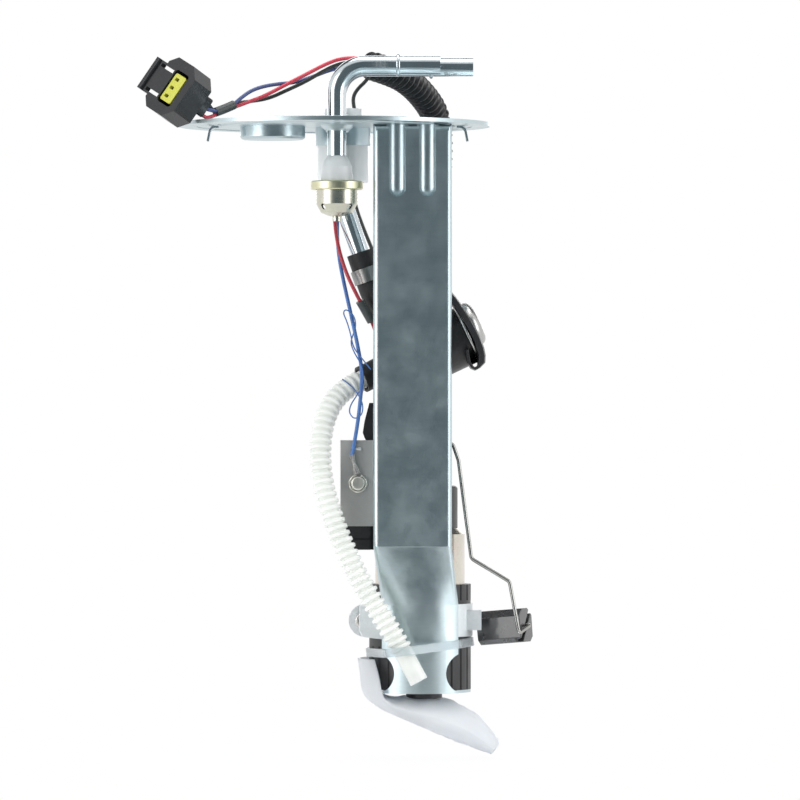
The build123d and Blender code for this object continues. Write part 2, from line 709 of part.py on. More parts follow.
def bulkhead_body():
    """Sealed plug that carries three wires through the plate."""
    body = disc(BULKHEAD_RADIUS, BULKHEAD_BOTTOM_Z, -END_GAP, BULKHEAD_X, BULKHEAD_Y)
    body += disc(CAP_RADIUS, -1, CAP_TOP_Z, BULKHEAD_X, BULKHEAD_Y)
    inner = BULKHEAD_RADIUS - BULKHEAD_WALL
    body -= disc(inner, BULKHEAD_BOTTOM_Z - 1, BULKHEAD_CEILING_Z, BULKHEAD_X, BULKHEAD_Y)
    groove_floor = BULKHEAD_RADIUS - SEAL_SECTION
    seal_low = SEAL_TOP_Z - SEAL_HEIGHT
    body -= ring(BULKHEAD_RADIUS + 1, groove_floor, seal_low, SEAL_TOP_Z, BULKHEAD_X, BULKHEAD_Y)
    hole = LEAD_RADIUS + END_GAP
    for before, end in (LEAD_BLACK[-2:], TAIL_RED[-2:], TAIL_BLUE[-2:]):
        body -= rod(toward(end, before, -END_GAP), before, hole)
    for x, y, top in (WIRE_RED[0], WIRE_BLUE[0], WIRE_BLACK[0]):
        body -= disc(hole + END_GAP, BULKHEAD_CEILING_Z - 1, top + END_GAP, x, y)
    return body


def bulkhead_seal():
    """Sealing ring between the bulkhead and its collar."""
    inner = BULKHEAD_RADIUS - SEAL_SECTION + 0.02
    high = SEAL_TOP_Z - 0.1
    low = SEAL_TOP_Z - SEAL_HEIGHT + 0.1
    return ring(BULKHEAD_RADIUS + COLLAR_GAP - 0.02, inner, low, high, BULKHEAD_X, BULKHEAD_Y)


def channel_section(height):
    """The bracket's open section where its web is flat."""
    left, right, back, web = CHANNEL_LEFT, CHANNEL_RIGHT, CHANNEL_BACK, WEB_Y
    r, t = CORNER_RADIUS, SHEET
    diagonal = math.sqrt(0.5)

    def arc(cx, side, radius):
        low = (cx + side * radius, web + r)
        middle = (cx + side * radius * diagonal, web + r - radius * diagonal)
        return low, middle, (cx, web + r - radius)

    outer_left = arc(left + r, -1, r)
    outer_right = arc(right - r, 1, r)
    inner_left = arc(left + r, -1, r - t)
    inner_right = arc(right - r, 1, r - t)
    edges = [
        Line((left, back), outer_left[0]),
        ThreePointArc(*outer_left),
        Line(outer_left[2], outer_right[2]),
        ThreePointArc(*outer_right[::-1]),
        Line(outer_right[0], (right, back)),
        Line((right, back), (right - t, back)),
        Line((right - t, back), inner_right[0]),
        ThreePointArc(*inner_right),
        Line(inner_right[2], inner_left[2]),
        ThreePointArc(*inner_left[::-1]),
        Line(inner_left[0], (left + t, back)),
        Line((left + t, back), (left, back)),
    ]
    return Pos(0, 0, height) * make_face(Wire(edges))


def cradle_section(height):
    """The bracket's section where it wraps the pump, an arc cut like the flat one's edges."""
    side_end = CRADLE_HALF_ANGLE - CRADLE_SIDE_ANGLE
    stops = [CRADLE_HALF_ANGLE, side_end, side_end - CRADLE_CORNER_ANGLE]
    stops += [-stop for stop in stops[::-1]]

    def at(radius, angle):
        turn = math.radians(angle)
        return (PUMP_X - radius * math.sin(turn), PUMP_Y - radius * math.cos(turn))

    def arcs(radius, angles):
        return [
            ThreePointArc(at(radius, a), at(radius, (a + b) / 2), at(radius, b))
            for a, b in zip(angles, angles[1:])
        ]

    ends = [at(CRADLE_OUTER, stops[-1]), at(CRADLE_INNER, stops[-1])]
    starts = [at(CRADLE_INNER, stops[0]), at(CRADLE_OUTER, stops[0])]
    edges = arcs(CRADLE_OUTER, stops) + [Line(*ends)] + arcs(CRADLE_INNER, stops[::-1]) + [Line(*starts)]
    return Pos(0, 0, height) * make_face(Wire(edges))


def groove(x, radius):
    """A round-bottomed stiffening groove, as the tool that presses it."""
    axis_y = WEB_Y - GROOVE_AXIS_DEPTH
    bar = disc(radius, -GROOVE_LENGTH, 1, x, axis_y)
    return bar + Pos(x, axis_y, -GROOVE_LENGTH) * Sphere(radius)


def foot_bend(radius):
    """The space round the bend between the web and the foot, as a bar along X."""
    start = (CHANNEL_LEFT - 1, WEB_Y + FOOT_BEND, -FOOT_BEND)
    end = (CHANNEL_RIGHT + 1, WEB_Y + FOOT_BEND, -FOOT_BEND)
    return rod(start, end, radius)


def hanger_bracket():
    """Sheet channel from the plate that flattens out into a cradle round the pump."""
    bracket = extrude(channel_section(-CHANNEL_STRAIGHT), CHANNEL_STRAIGHT)
    bracket += loft([channel_section(-CHANNEL_STRAIGHT), cradle_section(CRADLE_TOP_Z)], ruled=True)
    bracket += extrude(cradle_section(SHELF_TOP_Z - SHEET), CRADLE_TOP_Z - SHELF_TOP_Z + SHEET)
    foot_end = CHANNEL_BACK + FOOT_DEPTH
    bend_y = WEB_Y + FOOT_BEND
    bracket += box(CHANNEL_LEFT, CHANNEL_RIGHT, bend_y, foot_end, -SHEET, 0)
    corner = box(CHANNEL_LEFT + SHEET, CHANNEL_RIGHT - SHEET, WEB_Y, bend_y, -FOOT_BEND, 0)
    bracket += corner - foot_bend(FOOT_BEND - SHEET)
    outside = box(CHANNEL_LEFT - 1, CHANNEL_RIGHT + 1, WEB_Y - 1, bend_y, -FOOT_BEND, 1)
    bracket -= outside - foot_bend(FOOT_BEND)
    for wall_x in (CHANNEL_LEFT, CHANNEL_RIGHT - SHEET):
        bracket += box(wall_x, wall_x + SHEET, CHANNEL_BACK - 1, foot_end, -FOOT_SIDE_HEIGHT, 0)
    centres = [CHANNEL_X - GROOVE_SPACING / 2, CHANNEL_X + GROOVE_SPACING / 2]
    behind_web = box(CHANNEL_LEFT, CHANNEL_RIGHT, WEB_Y + SHEET / 2, CHANNEL_BACK, -CHANNEL_STRAIGHT, 0)
    for x in centres:
        bracket += groove(x, GROOVE_RADIUS + SHEET) & behind_web
    for x in centres:
        bracket -= groove(x, GROOVE_RADIUS)
    for side in (-1, 1):
        edge = PUMP_X + side * CRADLE_OUTER * math.sin(math.radians(CRADLE_HALF_ANGLE))
        centre_x = edge + side * (SCALLOP_RADIUS - SCALLOP_BITE)
        bracket -= rod((centre_x, WEB_Y - 5, SCALLOP_Z), (centre_x, PUMP_Y, SCALLOP_Z), SCALLOP_RADIUS)
    shelf_low = SHELF_TOP_Z - SHEET
    shelf = disc(SLEEVE_RADIUS, shelf_low, SHELF_TOP_Z, PUMP_X, PUMP_Y)
    shelf += extrude(cradle_section(shelf_low), SHEET)
    left, right = PUMP_X - SHELF_HALF_LEFT, PUMP_X + SHELF_HALF_LEFT
    shelf &= box(left, PUMP_X + CRADLE_OUTER, -CRADLE_OUTER, SHELF_BACK_Y, shelf_low, SHELF_TOP_Z)
    front = box(left, right, -CRADLE_OUTER, -SHELF_HALF_LEFT, shelf_low, SHELF_TOP_Z)
    bracket += shelf + (front & disc(CRADLE_OUTER, shelf_low, SHELF_TOP_Z, PUMP_X, PUMP_Y))
    bracket -= disc(SLEEVE_RADIUS + RELIEF, CRADLE_TOP_Z, SLEEVE_TOP_Z + RELIEF, PUMP_X, PUMP_Y)
    bracket -= disc(SHELF_INLET_RADIUS, SHELF_TOP_Z - 3, SHELF_TOP_Z + 1, INLET_X, INLET_Y)
    return bracket


def pump_can():
    """Rolled steel can, closed at both ends by moulded caps."""
    can = ring(CAN_RADIUS, CAN_RADIUS - CAN_WALL, CAN_BOTTOM_Z, CAN_TOP_Z, PUMP_X, PUMP_Y)
    lip = turned(
        [
            (END_CAP_RADIUS + 0.1, CAN_TOP_Z),
            (CAN_RADIUS - CAN_SHOULDER, CAN_TOP_Z),
            (CAN_RADIUS, CAN_TOP_Z - CAN_SHOULDER),
            (CAN_RADIUS - CAN_WALL, CAN_TOP_Z - CAN_SHOULDER),
            (CAN_RADIUS - CAN_SHOULDER, CAN_TOP_Z - CAN_WALL),
            (END_CAP_RADIUS + 0.1, CAN_TOP_Z - CAN_WALL),
        ],
        PUMP_X,
        PUMP_Y,
    )
    band = box(PUMP_X - 30, PUMP_X + 30, -30, 30, CAN_TOP_Z - CAN_SHOULDER, CAN_TOP_Z + 1)
    return can - band + lip


def pump_end_cap():
    """Outlet cap with the outlet nipple, the upper bearing and two terminals."""
    inner = CAN_RADIUS - CAN_WALL - BEARING_GAP
    cap = disc(END_CAP_RADIUS, CAN_TOP_Z - 4, END_CAP_TOP_Z, PUMP_X, PUMP_Y)
    cap = fillet(cap.edges().sort_by(Axis.Z)[-1], 1.5)
    cap += disc(inner, CAN_TOP_Z - 7, CAN_TOP_Z - CAN_SHOULDER - 0.1, PUMP_X, PUMP_Y)
    cap -= disc(END_CAP_RADIUS - END_CAP_WALL, CAN_TOP_Z - 8, END_CAP_TOP_Z - 6, PUMP_X, PUMP_Y)
    cap += disc(5.0, END_CAP_TOP_Z - 14, END_CAP_TOP_Z - 5, PUMP_X, PUMP_Y)
    cap -= disc(SHAFT_RADIUS + BEARING_GAP, END_CAP_TOP_Z - 15, SHAFT_TOP_Z + 0.3, PUMP_X, PUMP_Y)
    nipple_high = OUTLET_TOP_Z
    cap += turned(
        [
            (0, END_CAP_TOP_Z - 1),
            (NIPPLE_RADIUS, END_CAP_TOP_Z - 1),
            (NIPPLE_RADIUS, nipple_high - 1.5),
            (NIPPLE_RADIUS - 0.8, nipple_high),
            (0, nipple_high),
        ],
        PUMP_X,
        PUMP_Y,
    )
    cap -= disc(NIPPLE_BORE, END_CAP_TOP_Z - 3, nipple_high + 1, PUMP_X, PUMP_Y)
    for side in (-1, 1):
        x = PUMP_X + side * TERMINAL_SPREAD
        cap += ring(2.4, INNER_WIRE_RADIUS + END_GAP, END_CAP_TOP_Z - 1, END_CAP_TOP_Z + 4, x, TERMINAL_Y)
    return cap


def pump_inlet_cap():
    """Inlet cap with the impeller chamber, the lower bearing and the offset inlet."""
    inner = CAN_RADIUS - CAN_WALL - BEARING_GAP
    cap = disc(inner, CAN_BOTTOM_Z, INLET_CAP_TOP_Z, PUMP_X, PUMP_Y)
    high = INLET_CAP_TOP_Z - 2.0
    chamber_floor = high - IMPELLER_HEIGHT - 2 * IMPELLER_GAP
    cap -= disc(IMPELLER_RADIUS + IMPELLER_GAP, chamber_floor, high, PUMP_X, PUMP_Y)
    cap -= disc(SHAFT_RADIUS + BEARING_GAP, SHAFT_BOTTOM_Z - 0.3, INLET_CAP_TOP_Z + 1, PUMP_X, PUMP_Y)
    cap += disc(INLET_RADIUS, INLET_END_Z, CAN_BOTTOM_Z, INLET_X, INLET_Y)
    cap -= disc(INLET_RADIUS - INLET_WALL, INLET_END_Z - 1, CAN_BOTTOM_Z + 1.4, INLET_X, INLET_Y)
    cap -= disc(INLET_PASSAGE_RADIUS, CAN_BOTTOM_Z, high - IMPELLER_HEIGHT, INLET_X, INLET_Y - 4.2)
    return cap


def magnets():
    """Two field magnets held against the can."""
    outer = CAN_RADIUS - CAN_WALL - 0.05
    inner = ARMATURE_RADIUS + MAGNET_GAP
    both = []
    for side in (0, 180):
        shell = ring(outer, inner, MAGNET_BOTTOM_Z, MAGNET_TOP_Z)
        half = math.radians(MAGNET_ANGLE / 2)
        corner_x, corner_y = 2 * outer * math.cos(half), 2 * outer * math.sin(half)
        corners = [(0, 0), (corner_x, -corner_y), (4 * outer, 0), (corner_x, corner_y)]
        wedge = make_face(Polyline(*corners, close=True))
        wedge = Pos(0, 0, MAGNET_BOTTOM_Z - 1) * extrude(wedge, MAGNET_TOP_Z - MAGNET_BOTTOM_Z + 2)
        both.append(Pos(PUMP_X, PUMP_Y, 0) * Rot(0, 0, side) * (shell & wedge))
    return Compound(children=both)


def armature_shaft():
    """Motor shaft, through both bearings and the impeller."""
    return disc(SHAFT_RADIUS, SHAFT_BOTTOM_Z, SHAFT_TOP_Z, PUMP_X, PUMP_Y)


def armature():
    """Slotted iron core that turns between the magnets."""
    core = ring(ARMATURE_RADIUS, SHAFT_RADIUS, MAGNET_BOTTOM_Z + 2, MAGNET_TOP_Z - 2, PUMP_X, PUMP_Y)
    for number in range(8):
        slot = box(8.5, ARMATURE_RADIUS + 1, -0.8, 0.8, MAGNET_BOTTOM_Z, MAGNET_TOP_Z)
        core -= Pos(PUMP_X, PUMP_Y, 0) * Rot(0, 0, number * 45) * slot
    return core


def commutator():
    """Copper ring that the brushes feed."""
    return ring(COMMUTATOR_RADIUS, SHAFT_RADIUS, MAGNET_TOP_Z - 2, MAGNET_TOP_Z + 6, PUMP_X, PUMP_Y)


def brushes():
    """Two carbon brushes, one on each side of the commutator."""
    both = []
    for side in (-1, 1):
        near = side * (COMMUTATOR_RADIUS + 0.05)
        far = side * (END_CAP_RADIUS - END_CAP_WALL - 0.5)
        low_x, high_x = sorted((PUMP_X + near, PUMP_X + far))
        both.append(box(low_x, high_x, -2.5, 2.5, MAGNET_TOP_Z, MAGNET_TOP_Z + 5))
    return Compound(children=both)


def impeller():
    """Vaned disc that draws the fuel in."""
    low = IMPELLER_TOP_Z - IMPELLER_HEIGHT
    wheel = ring(IMPELLER_RADIUS, SHAFT_RADIUS, low, IMPELLER_TOP_Z, PUMP_X, PUMP_Y)
    for number in range(IMPELLER_VANES):
        gap = box(IMPELLER_RADIUS - 2.4, IMPELLER_RADIUS + 1, -0.9, 0.9, low - 1, IMPELLER_TOP_Z + 1)
        wheel -= Pos(PUMP_X, PUMP_Y, 0) * Rot(0, 0, number * 360 / IMPELLER_VANES) * gap
    return wheel


def pump_sleeve():
    """Fluted rubber sleeve that isolates the pump from the cradle."""
    sleeve = ring(SLEEVE_RADIUS, CAN_RADIUS + SLEEVE_GAP, SHELF_TOP_Z + 0.1, SLEEVE_TOP_Z, PUMP_X, PUMP_Y)
    for number in range(SLEEVE_FLUTES):
        turn = Rot(0, 0, (number + 0.5) * 360 / SLEEVE_FLUTES)
        for low, high in FLUTE_SPANS:
            sleeve -= Pos(PUMP_X, PUMP_Y, 0) * turn * disc(FLUTE_RADIUS, low, high, SLEEVE_RADIUS, 0)
    return sleeve


def ear_middle_z():
    """The height of the band's middle, where its ears and its buckle are."""
    return BAND_TOP_Z - BAND_HEIGHT / 2


def clamp_band():
    """Sheet band round the sleeve, open at two screwed ears, with a hooked buckle."""
    inner = SLEEVE_RADIUS + BAND_GAP
    outer = inner + BAND_THICKNESS
    low = BAND_TOP_Z - BAND_HEIGHT
    middle = ear_middle_z()
    band = ring(outer, inner, low, BAND_TOP_Z, PUMP_X, PUMP_Y)
    band -= box(PUMP_X - outer - 1, PUMP_X, EAR_Y, EAR_Y + EAR_SPACE, low - 1, BAND_TOP_Z + 1)
    for near_y in (EAR_Y - BAND_THICKNESS, EAR_Y + EAR_SPACE):
        far_y = near_y + BAND_THICKNESS
        reach = PUMP_X - math.sqrt(inner**2 - near_y**2)
        ear = box(EAR_X, reach + 1.5, near_y, far_y, low, BAND_TOP_Z)
        ear += rod((EAR_X, near_y, middle), (EAR_X, far_y, middle), BAND_HEIGHT / 2)
        hole = EAR_SCREW_RADIUS + END_GAP
        ear -= rod((EAR_SCREW_X, near_y - 1, middle), (EAR_SCREW_X, far_y + 1, middle), hole)
        band += ear
    band -= disc(inner, low - 1, BAND_TOP_Z + 1, PUMP_X, PUMP_Y)
    hook_low = middle - BUCKLE_HEIGHT / 2
    hook_high = middle + BUCKLE_HEIGHT / 2
    lip_y = BUCKLE_Y + BUCKLE_DEPTH
    root = PUMP_X + math.sqrt(inner**2 - BUCKLE_Y**2)
    band -= box(root, PUMP_X + outer + 1, BUCKLE_Y, lip_y, hook_low, hook_high)
    hook = box(root - 0.2, BUCKLE_REACH_X, BUCKLE_Y - BAND_THICKNESS, BUCKLE_Y, hook_low, hook_high)
    hook += box(BUCKLE_REACH_X - BAND_THICKNESS, BUCKLE_REACH_X, BUCKLE_Y, lip_y - 1, hook_low, hook_high)
    return band + (hook - disc(inner, low - 1, BAND_TOP_Z + 1, PUMP_X, PUMP_Y))


def ear_screw():
    """Pan-head screw that pulls the band's ears together."""
    face_y = EAR_Y - BAND_THICKNESS
    middle = ear_middle_z()
    end_y = EAR_Y + EAR_SPACE + BAND_THICKNESS + EAR_NUT_HEIGHT + 0.6
    shank = rod((EAR_SCREW_X, face_y, middle), (EAR_SCREW_X, end_y, middle), EAR_SCREW_RADIUS)
    top_y = face_y - EAR_HEAD_HEIGHT
    head = rod((EAR_SCREW_X, top_y, middle), (EAR_SCREW_X, face_y, middle), EAR_HEAD_RADIUS)
    head = fillet(head.edges().sort_by(Axis.Y)[0], EAR_HEAD_HEIGHT * 0.45)
    recess = Box(EAR_HEAD_RADIUS, 1.6, 0.9) + Box(0.9, 1.6, EAR_HEAD_RADIUS)
    return shank + (head - Pos(EAR_SCREW_X, top_y, middle) * recess)


def ear_nut():
    """Hexagon nut behind the rear ear."""
    face_y = EAR_Y + EAR_SPACE + BAND_THICKNESS
    plane = Plane(origin=(EAR_SCREW_X, face_y, ear_middle_z()), z_dir=(0, 1, 0), x_dir=(0, 0, 1))
    section = plane * (RegularPolygon(EAR_NUT_RADIUS, 6) - Circle(EAR_SCREW_RADIUS + 0.02))
    return extrude(section, EAR_NUT_HEIGHT)


def zip_tie():
    """Strap pulled round the pump and over the return hose."""
    hug = SLEEVE_RADIUS + TIE_GAP
    front = CRADLE_OUTER + TIE_GAP
    half = math.radians(CRADLE_HALF_ANGLE + 1)
    side_x, side_y = front * math.sin(half), -front * math.cos(half)
    shapes = [Circle(hug)]
    for hose_x in (TIE_HOSE_LEFT_X, TIE_HOSE_RIGHT_X):
        over_hose = Circle(RETURN_HOSE_RADIUS + TIE_GAP)
        shapes.append(Pos(hose_x - PUMP_X, TIE_HOSE_Y - PUMP_Y) * over_hose)
    edges = ShapeList(edge for shape in shapes for edge in shape.edges())
    edges.append(ThreePointArc((-side_x, side_y), (0, -front), (side_x, side_y)))
    inside = make_hull(edges)
    outside = offset(inside, TIE_THICKNESS)
    loop = extrude(outside, TIE_WIDTH) - extrude(inside, TIE_WIDTH)
    loop += box(-3, 3, hug + TIE_THICKNESS / 2, hug + 5.5, -0.9, TIE_WIDTH + 0.9)
    loop = Pos(0, 0, -TIE_WIDTH / 2) * loop
    return Pos(PUMP_X, PUMP_Y, TIE_Z) * Rot(0, -TIE_TILT, 0) * loop


def regulator_plane(offset_along):
    """A plane across the regulator's axis, so far along it from its seat."""
    return Plane(origin=REGULATOR_SEAT + RISE * offset_along, z_dir=RISE, x_dir=(0, 1, 0))


def regulator_housing():
    """Moulded block behind the web, with three hose ports and the seat of the regulator."""
    seat = regulator_plane(-REGULATOR_BODY_LENGTH) * Circle(REGULATOR_BODY_RADIUS)
    body = extrude(seat, REGULATOR_BODY_LENGTH - 0.05)
    near, far = PUMP_Y - BLOCK_HALF_DEPTH, PUMP_Y + BLOCK_HALF_DEPTH
    block = box(BLOCK_LEFT, BLOCK_RIGHT, near, far, BLOCK_BOTTOM_Z, BLOCK_TOP_Z)
    body += fillet(block.edges(), BLOCK_ROUND)
    pad_low, pad_high = BLOCK_BOTTOM_Z + 3, BLOCK_BOTTOM_Z + 11
    body += box(BLOCK_LEFT + 2, BLOCK_RIGHT - 2, WEB_Y + SHEET + PAD_GAP, near + 2, pad_low, pad_high)
    supply = [Vector(*point) for point in SUPPLY_HOSE_ROUTE]
    body += rod(toward(supply[3], supply[2], 4.6), toward(supply[3], supply[2], -9.0), PORT_RADIUS)
    outlet_end = RETURN_PORT_START + RETURN_PORT_STEP * PORT_LENGTH
    body += rod(outlet_end, RETURN_PORT_START - RETURN_PORT_STEP * 4, RETURN_PORT_RADIUS)
    body += disc(PORT_RADIUS, BLOCK_BOTTOM_Z - 11, BLOCK_BOTTOM_Z + 1, PUMP_X, PUMP_Y)
    body -= disc(PORT_BORE, BLOCK_BOTTOM_Z - 12, BLOCK_BOTTOM_Z + 8, PUMP_X, PUMP_Y)
    body -= rod(toward(supply[3], supply[2], 6), toward(supply[3], supply[2], -7.0), PORT_BORE)
    body -= rod(outlet_end + RETURN_PORT_STEP, RETURN_PORT_START, PORT_BORE - 0.4)
    return body


def regulator_can():
    """Pressed metal can with a crimped flange; its axis rises to the right."""
    outline = [
        (0, 0),
        (REGULATOR_FLANGE_RADIUS, 0),
        (REGULATOR_FLANGE_RADIUS, REGULATOR_FLANGE_THICKNESS),
        (REGULATOR_CAN_RADIUS + 0.6, REGULATOR_FLANGE_THICKNESS),
        (REGULATOR_CAN_RADIUS, REGULATOR_FLANGE_THICKNESS + 0.6),
        (REGULATOR_CAN_RADIUS, REGULATOR_CAN_LENGTH - 1.6),
        (REGULATOR_CAN_RADIUS - 1.6, REGULATOR_CAN_LENGTH),
        (2.2, REGULATOR_CAN_LENGTH),
        (2.0, REGULATOR_CAN_LENGTH - 0.6),
        (0, REGULATOR_CAN_LENGTH - 0.6),
    ]
    can = turned(outline)
    well = [(0, -1), (7.4, -1), (7.4, REGULATOR_CAN_LENGTH - 2.6), (0, REGULATOR_CAN_LENGTH - 2.6)]
    return regulator_plane(0).location * (can - turned(well))


def regulator_strap():
    """Oval strap that holds the can and its housing to the bracket."""
    loop = Ellipse(STRAP_HALF_DEPTH + STRAP_THICKNESS, STRAP_HALF_LENGTH + STRAP_THICKNESS)
    loop -= Ellipse(STRAP_HALF_DEPTH, STRAP_HALF_LENGTH)
    return extrude(regulator_plane(-STRAP_WIDTH / 2) * loop, STRAP_WIDTH)


def supply_hose():
    """Fuel hose from the regulator block up to the supply tube."""
    return tube(SUPPLY_HOSE_ROUTE, FUEL_HOSE_RADIUS, TUBE_RADIUS + HOSE_FIT_GAP)


def outlet_hose():
    """Fuel hose from the pump's outlet up to the regulator block."""
    low, high = END_CAP_TOP_Z + 4.5, BLOCK_BOTTOM_Z - 1.0
    return ring(FUEL_HOSE_RADIUS, NIPPLE_RADIUS + HOSE_FIT_GAP, low, high, PUMP_X, PUMP_Y)


def hose_clamp(start, direction):
    """Crimped band clamp on a fuel hose."""
    inner = FUEL_HOSE_RADIUS + HOSE_FIT_GAP
    plane = Plane(origin=start, z_dir=direction, x_dir=(0, 1, 0))
    band = extrude(plane * (Circle(inner + HOSE_CLAMP_THICKNESS) - Circle(inner)), HOSE_CLAMP_WIDTH)
    pinch = plane * Pos(0, inner + 1.2) * Rectangle(3.0, 2.6)
    band += extrude(pinch, HOSE_CLAMP_WIDTH)
    return band - extrude(plane * Circle(inner), HOSE_CLAMP_WIDTH)


def hose_clamps():
    """The clamps of the supply hose and the outlet hose."""
    supply = hose_clamp(HOSE_START + LEAN * 7.0, LEAN)
    low = hose_clamp(Vector(PUMP_X, PUMP_Y, END_CAP_TOP_Z + 6.0), Vector(0, 0, 1))
    high = hose_clamp(Vector(PUMP_X, PUMP_Y, BLOCK_BOTTOM_Z - 9.0), Vector(0, 0, 1))
    return Compound(children=[supply, low, high])


def elbow_sleeve():
    """Rubber sleeve that joins the return hose to the regulator block."""
    start = RETURN_PORT_START + RETURN_PORT_STEP * 3.2
    port_end = RETURN_PORT_START + RETURN_PORT_STEP * (PORT_LENGTH + 0.3)
    hose_point = RETURN_HOSE_ROUTE[0]
    end = toward(ELBOW_CORNER, hose_point, ELBOW_RUN)
    sleeve = tube([tuple(start), tuple(ELBOW_CORNER), tuple(end)], ELBOW_SLEEVE_RADIUS, PORT_BORE)
    sleeve -= rod(start - RETURN_PORT_STEP, port_end, RETURN_PORT_RADIUS + HOSE_FIT_GAP)
    socket = toward(ELBOW_CORNER, hose_point, ELBOW_RUN - HOSE_SOCKET_DEPTH)
    past = toward(ELBOW_CORNER, hose_point, ELBOW_RUN + 1)
    return sleeve - rod(socket, past, RETURN_HOSE_RADIUS + HOSE_FIT_GAP)


def return_hose():
    """Corrugated return hose, from inside the elbow sleeve down past the cradle."""
    start = toward(ELBOW_CORNER, RETURN_HOSE_ROUTE[0], ELBOW_RUN - HOSE_SOCKET_DEPTH + END_GAP)
    route = [tuple(start)] + RETURN_HOSE_ROUTE
    return tube(route, RETURN_HOSE_RADIUS, RETURN_HOSE_RADIUS - RETURN_HOSE_WALL)


def sender_plate():
    """Stainless plate of the level sender, flat against the bracket's rear edges."""
    plate = box(PLATE_LEFT, PLATE_RIGHT, PLATE_FRONT, PLATE_BACK, PLATE_BOTTOM_Z, PLATE_TOP_Z)
    cut_top = SENDER_ARM_BOTTOM_Z - PLATE_THICKNESS
    near, far = PLATE_FRONT - 1, PLATE_BACK + 1
    plate -= box(SENDER_RIGHT + 1, PLATE_RIGHT + 1, near, far, PLATE_BOTTOM_Z - 1, cut_top)
    plate -= rod((SCREW_X, near, SCREW_Z), (SCREW_X, far, SCREW_Z), SCREW_RADIUS + END_GAP)
    return plate


def sender_body():
    """Moulded sender housing: card pocket left, pivot bearing right, guide tongue on top."""
    body = box(SENDER_LEFT, SENDER_RIGHT, SENDER_FRONT, SENDER_BACK, SENDER_BOTTOM_Z, SENDER_TOP_Z)
    body += box(SENDER_RIGHT - 1, CARD_STEP_X, SENDER_FRONT, SENDER_BACK, CARD_STEP_Z, SENDER_TOP_Z)
    near, far = SENDER_FRONT, SENDER_BACK
    body += box(SENDER_RIGHT - 1, SENDER_ARM_RIGHT, near, far, SENDER_ARM_BOTTOM_Z, SENDER_TOP_Z)
    body += box(SENDER_LEFT, SENDER_RIGHT - 1.5, PLATE_BACK, near + 1, SENDER_BOTTOM_Z, SENDER_TOP_Z)
    outline = [(TONGUE_RIGHT, TONGUE_TOP_Z)] + TONGUE_EDGE
    outline += [(TONGUE_EDGE[-1][0], SENDER_TOP_Z - 1), (TONGUE_RIGHT, SENDER_TOP_Z - 1)]
    tongue = Plane.XZ.offset(-far) * make_face(Polyline(*outline, close=True))
    body += extrude(tongue, SENDER_DEPTH)
    line_z = PLATE_BOTTOM_Z - SENDER_LINE_DROP
    line_back = PLATE_BACK + SENDER_LINE
    body -= box(SENDER_LEFT - 1, SENDER_RIGHT + 1, PLATE_BACK - 1, line_back, line_z - SENDER_LINE, line_z)
    body -= box(CARD_LEFT, CARD_RIGHT, far - CARD_THICKNESS, far + 1, CARD_BOTTOM_Z, CARD_TOP_Z)
    body -= rod((PIVOT_X, near - 1, PIVOT_Z), (PIVOT_X, far + 1, PIVOT_Z), ARM_WIRE_RADIUS + PIVOT_GAP)
    screw_end = (SCREW_X, near + 3, SCREW_Z)
    return body - rod((SCREW_X, PLATE_BACK - 1, SCREW_Z), screw_end, SCREW_RADIUS + END_GAP)


def resistor_card():
    """Ceramic card with the printed track, in its pocket."""
    left, right = CARD_LEFT + CARD_GAP, CARD_RIGHT - CARD_GAP
    low, high = CARD_BOTTOM_Z + CARD_GAP, CARD_TOP_Z - CARD_GAP
    return box(left, right, SENDER_BACK - CARD_THICKNESS, SENDER_BACK, low, high)


def float_frame():
    """Unit vectors along the float, from its open end to its far end."""
    turn = math.radians(FLOAT_TURN)
    rise = math.radians(FLOAT_RISE)
    return Vector(-math.cos(turn) * math.cos(rise), math.sin(turn) * math.cos(rise), -math.sin(rise))


def float_arm():
    """Bent wire from the pivot bearing to the float."""
    along = float_frame()
    face = Vector(FLOAT_X, FLOAT_Y, FLOAT_Z)
    route = [
        (PIVOT_X, SENDER_BACK + HUB_THICKNESS + 0.6, PIVOT_Z),
        (PIVOT_X, ARM_Y, PIVOT_Z),
        (50.0, ARM_Y, -133.6),
        (52.8, ARM_Y, -141.9),
        (58.2, ARM_Y, -183.3),
        (74.4, ARM_Y, -193.1),
        (78.4, ARM_Y, -215.0),
        tuple(face - along * 2.0),
        tuple(face + along * 12.0),
    ]
    return tube(route, ARM_WIRE_RADIUS, radii=[1.2, 2.5, 2.5, 2.5, 2.5, 1.3, 1.2])


def arm_hub():
    """Moulded hub pressed on the wire's pivot leg, behind the card."""
    low = SENDER_BACK + 0.15
    hub = rod((PIVOT_X, low, PIVOT_Z), (PIVOT_X, low + HUB_THICKNESS, PIVOT_Z), HUB_RADIUS)
    return hub - rod((PIVOT_X, low - 1, PIVOT_Z), (PIVOT_X, low + 4, PIVOT_Z), ARM_WIRE_RADIUS)


def wiper():
    """Spring contact that sweeps the card."""
    low = SENDER_BACK + 0.15
    blade = box(HUB_RADIUS - 0.1, WIPER_LENGTH, 0.1, 0.5, -1.2, 1.2)
    tip = box(WIPER_LENGTH - 1.6, WIPER_LENGTH, -0.1, 0.1, -1.2, 1.2)
    blade -= Rot(90, 0, 0) * Cylinder(HUB_RADIUS, 6)
    return Pos(PIVOT_X, low, PIVOT_Z) * Rot(0, -WIPER_ANGLE, 0) * (blade + tip)


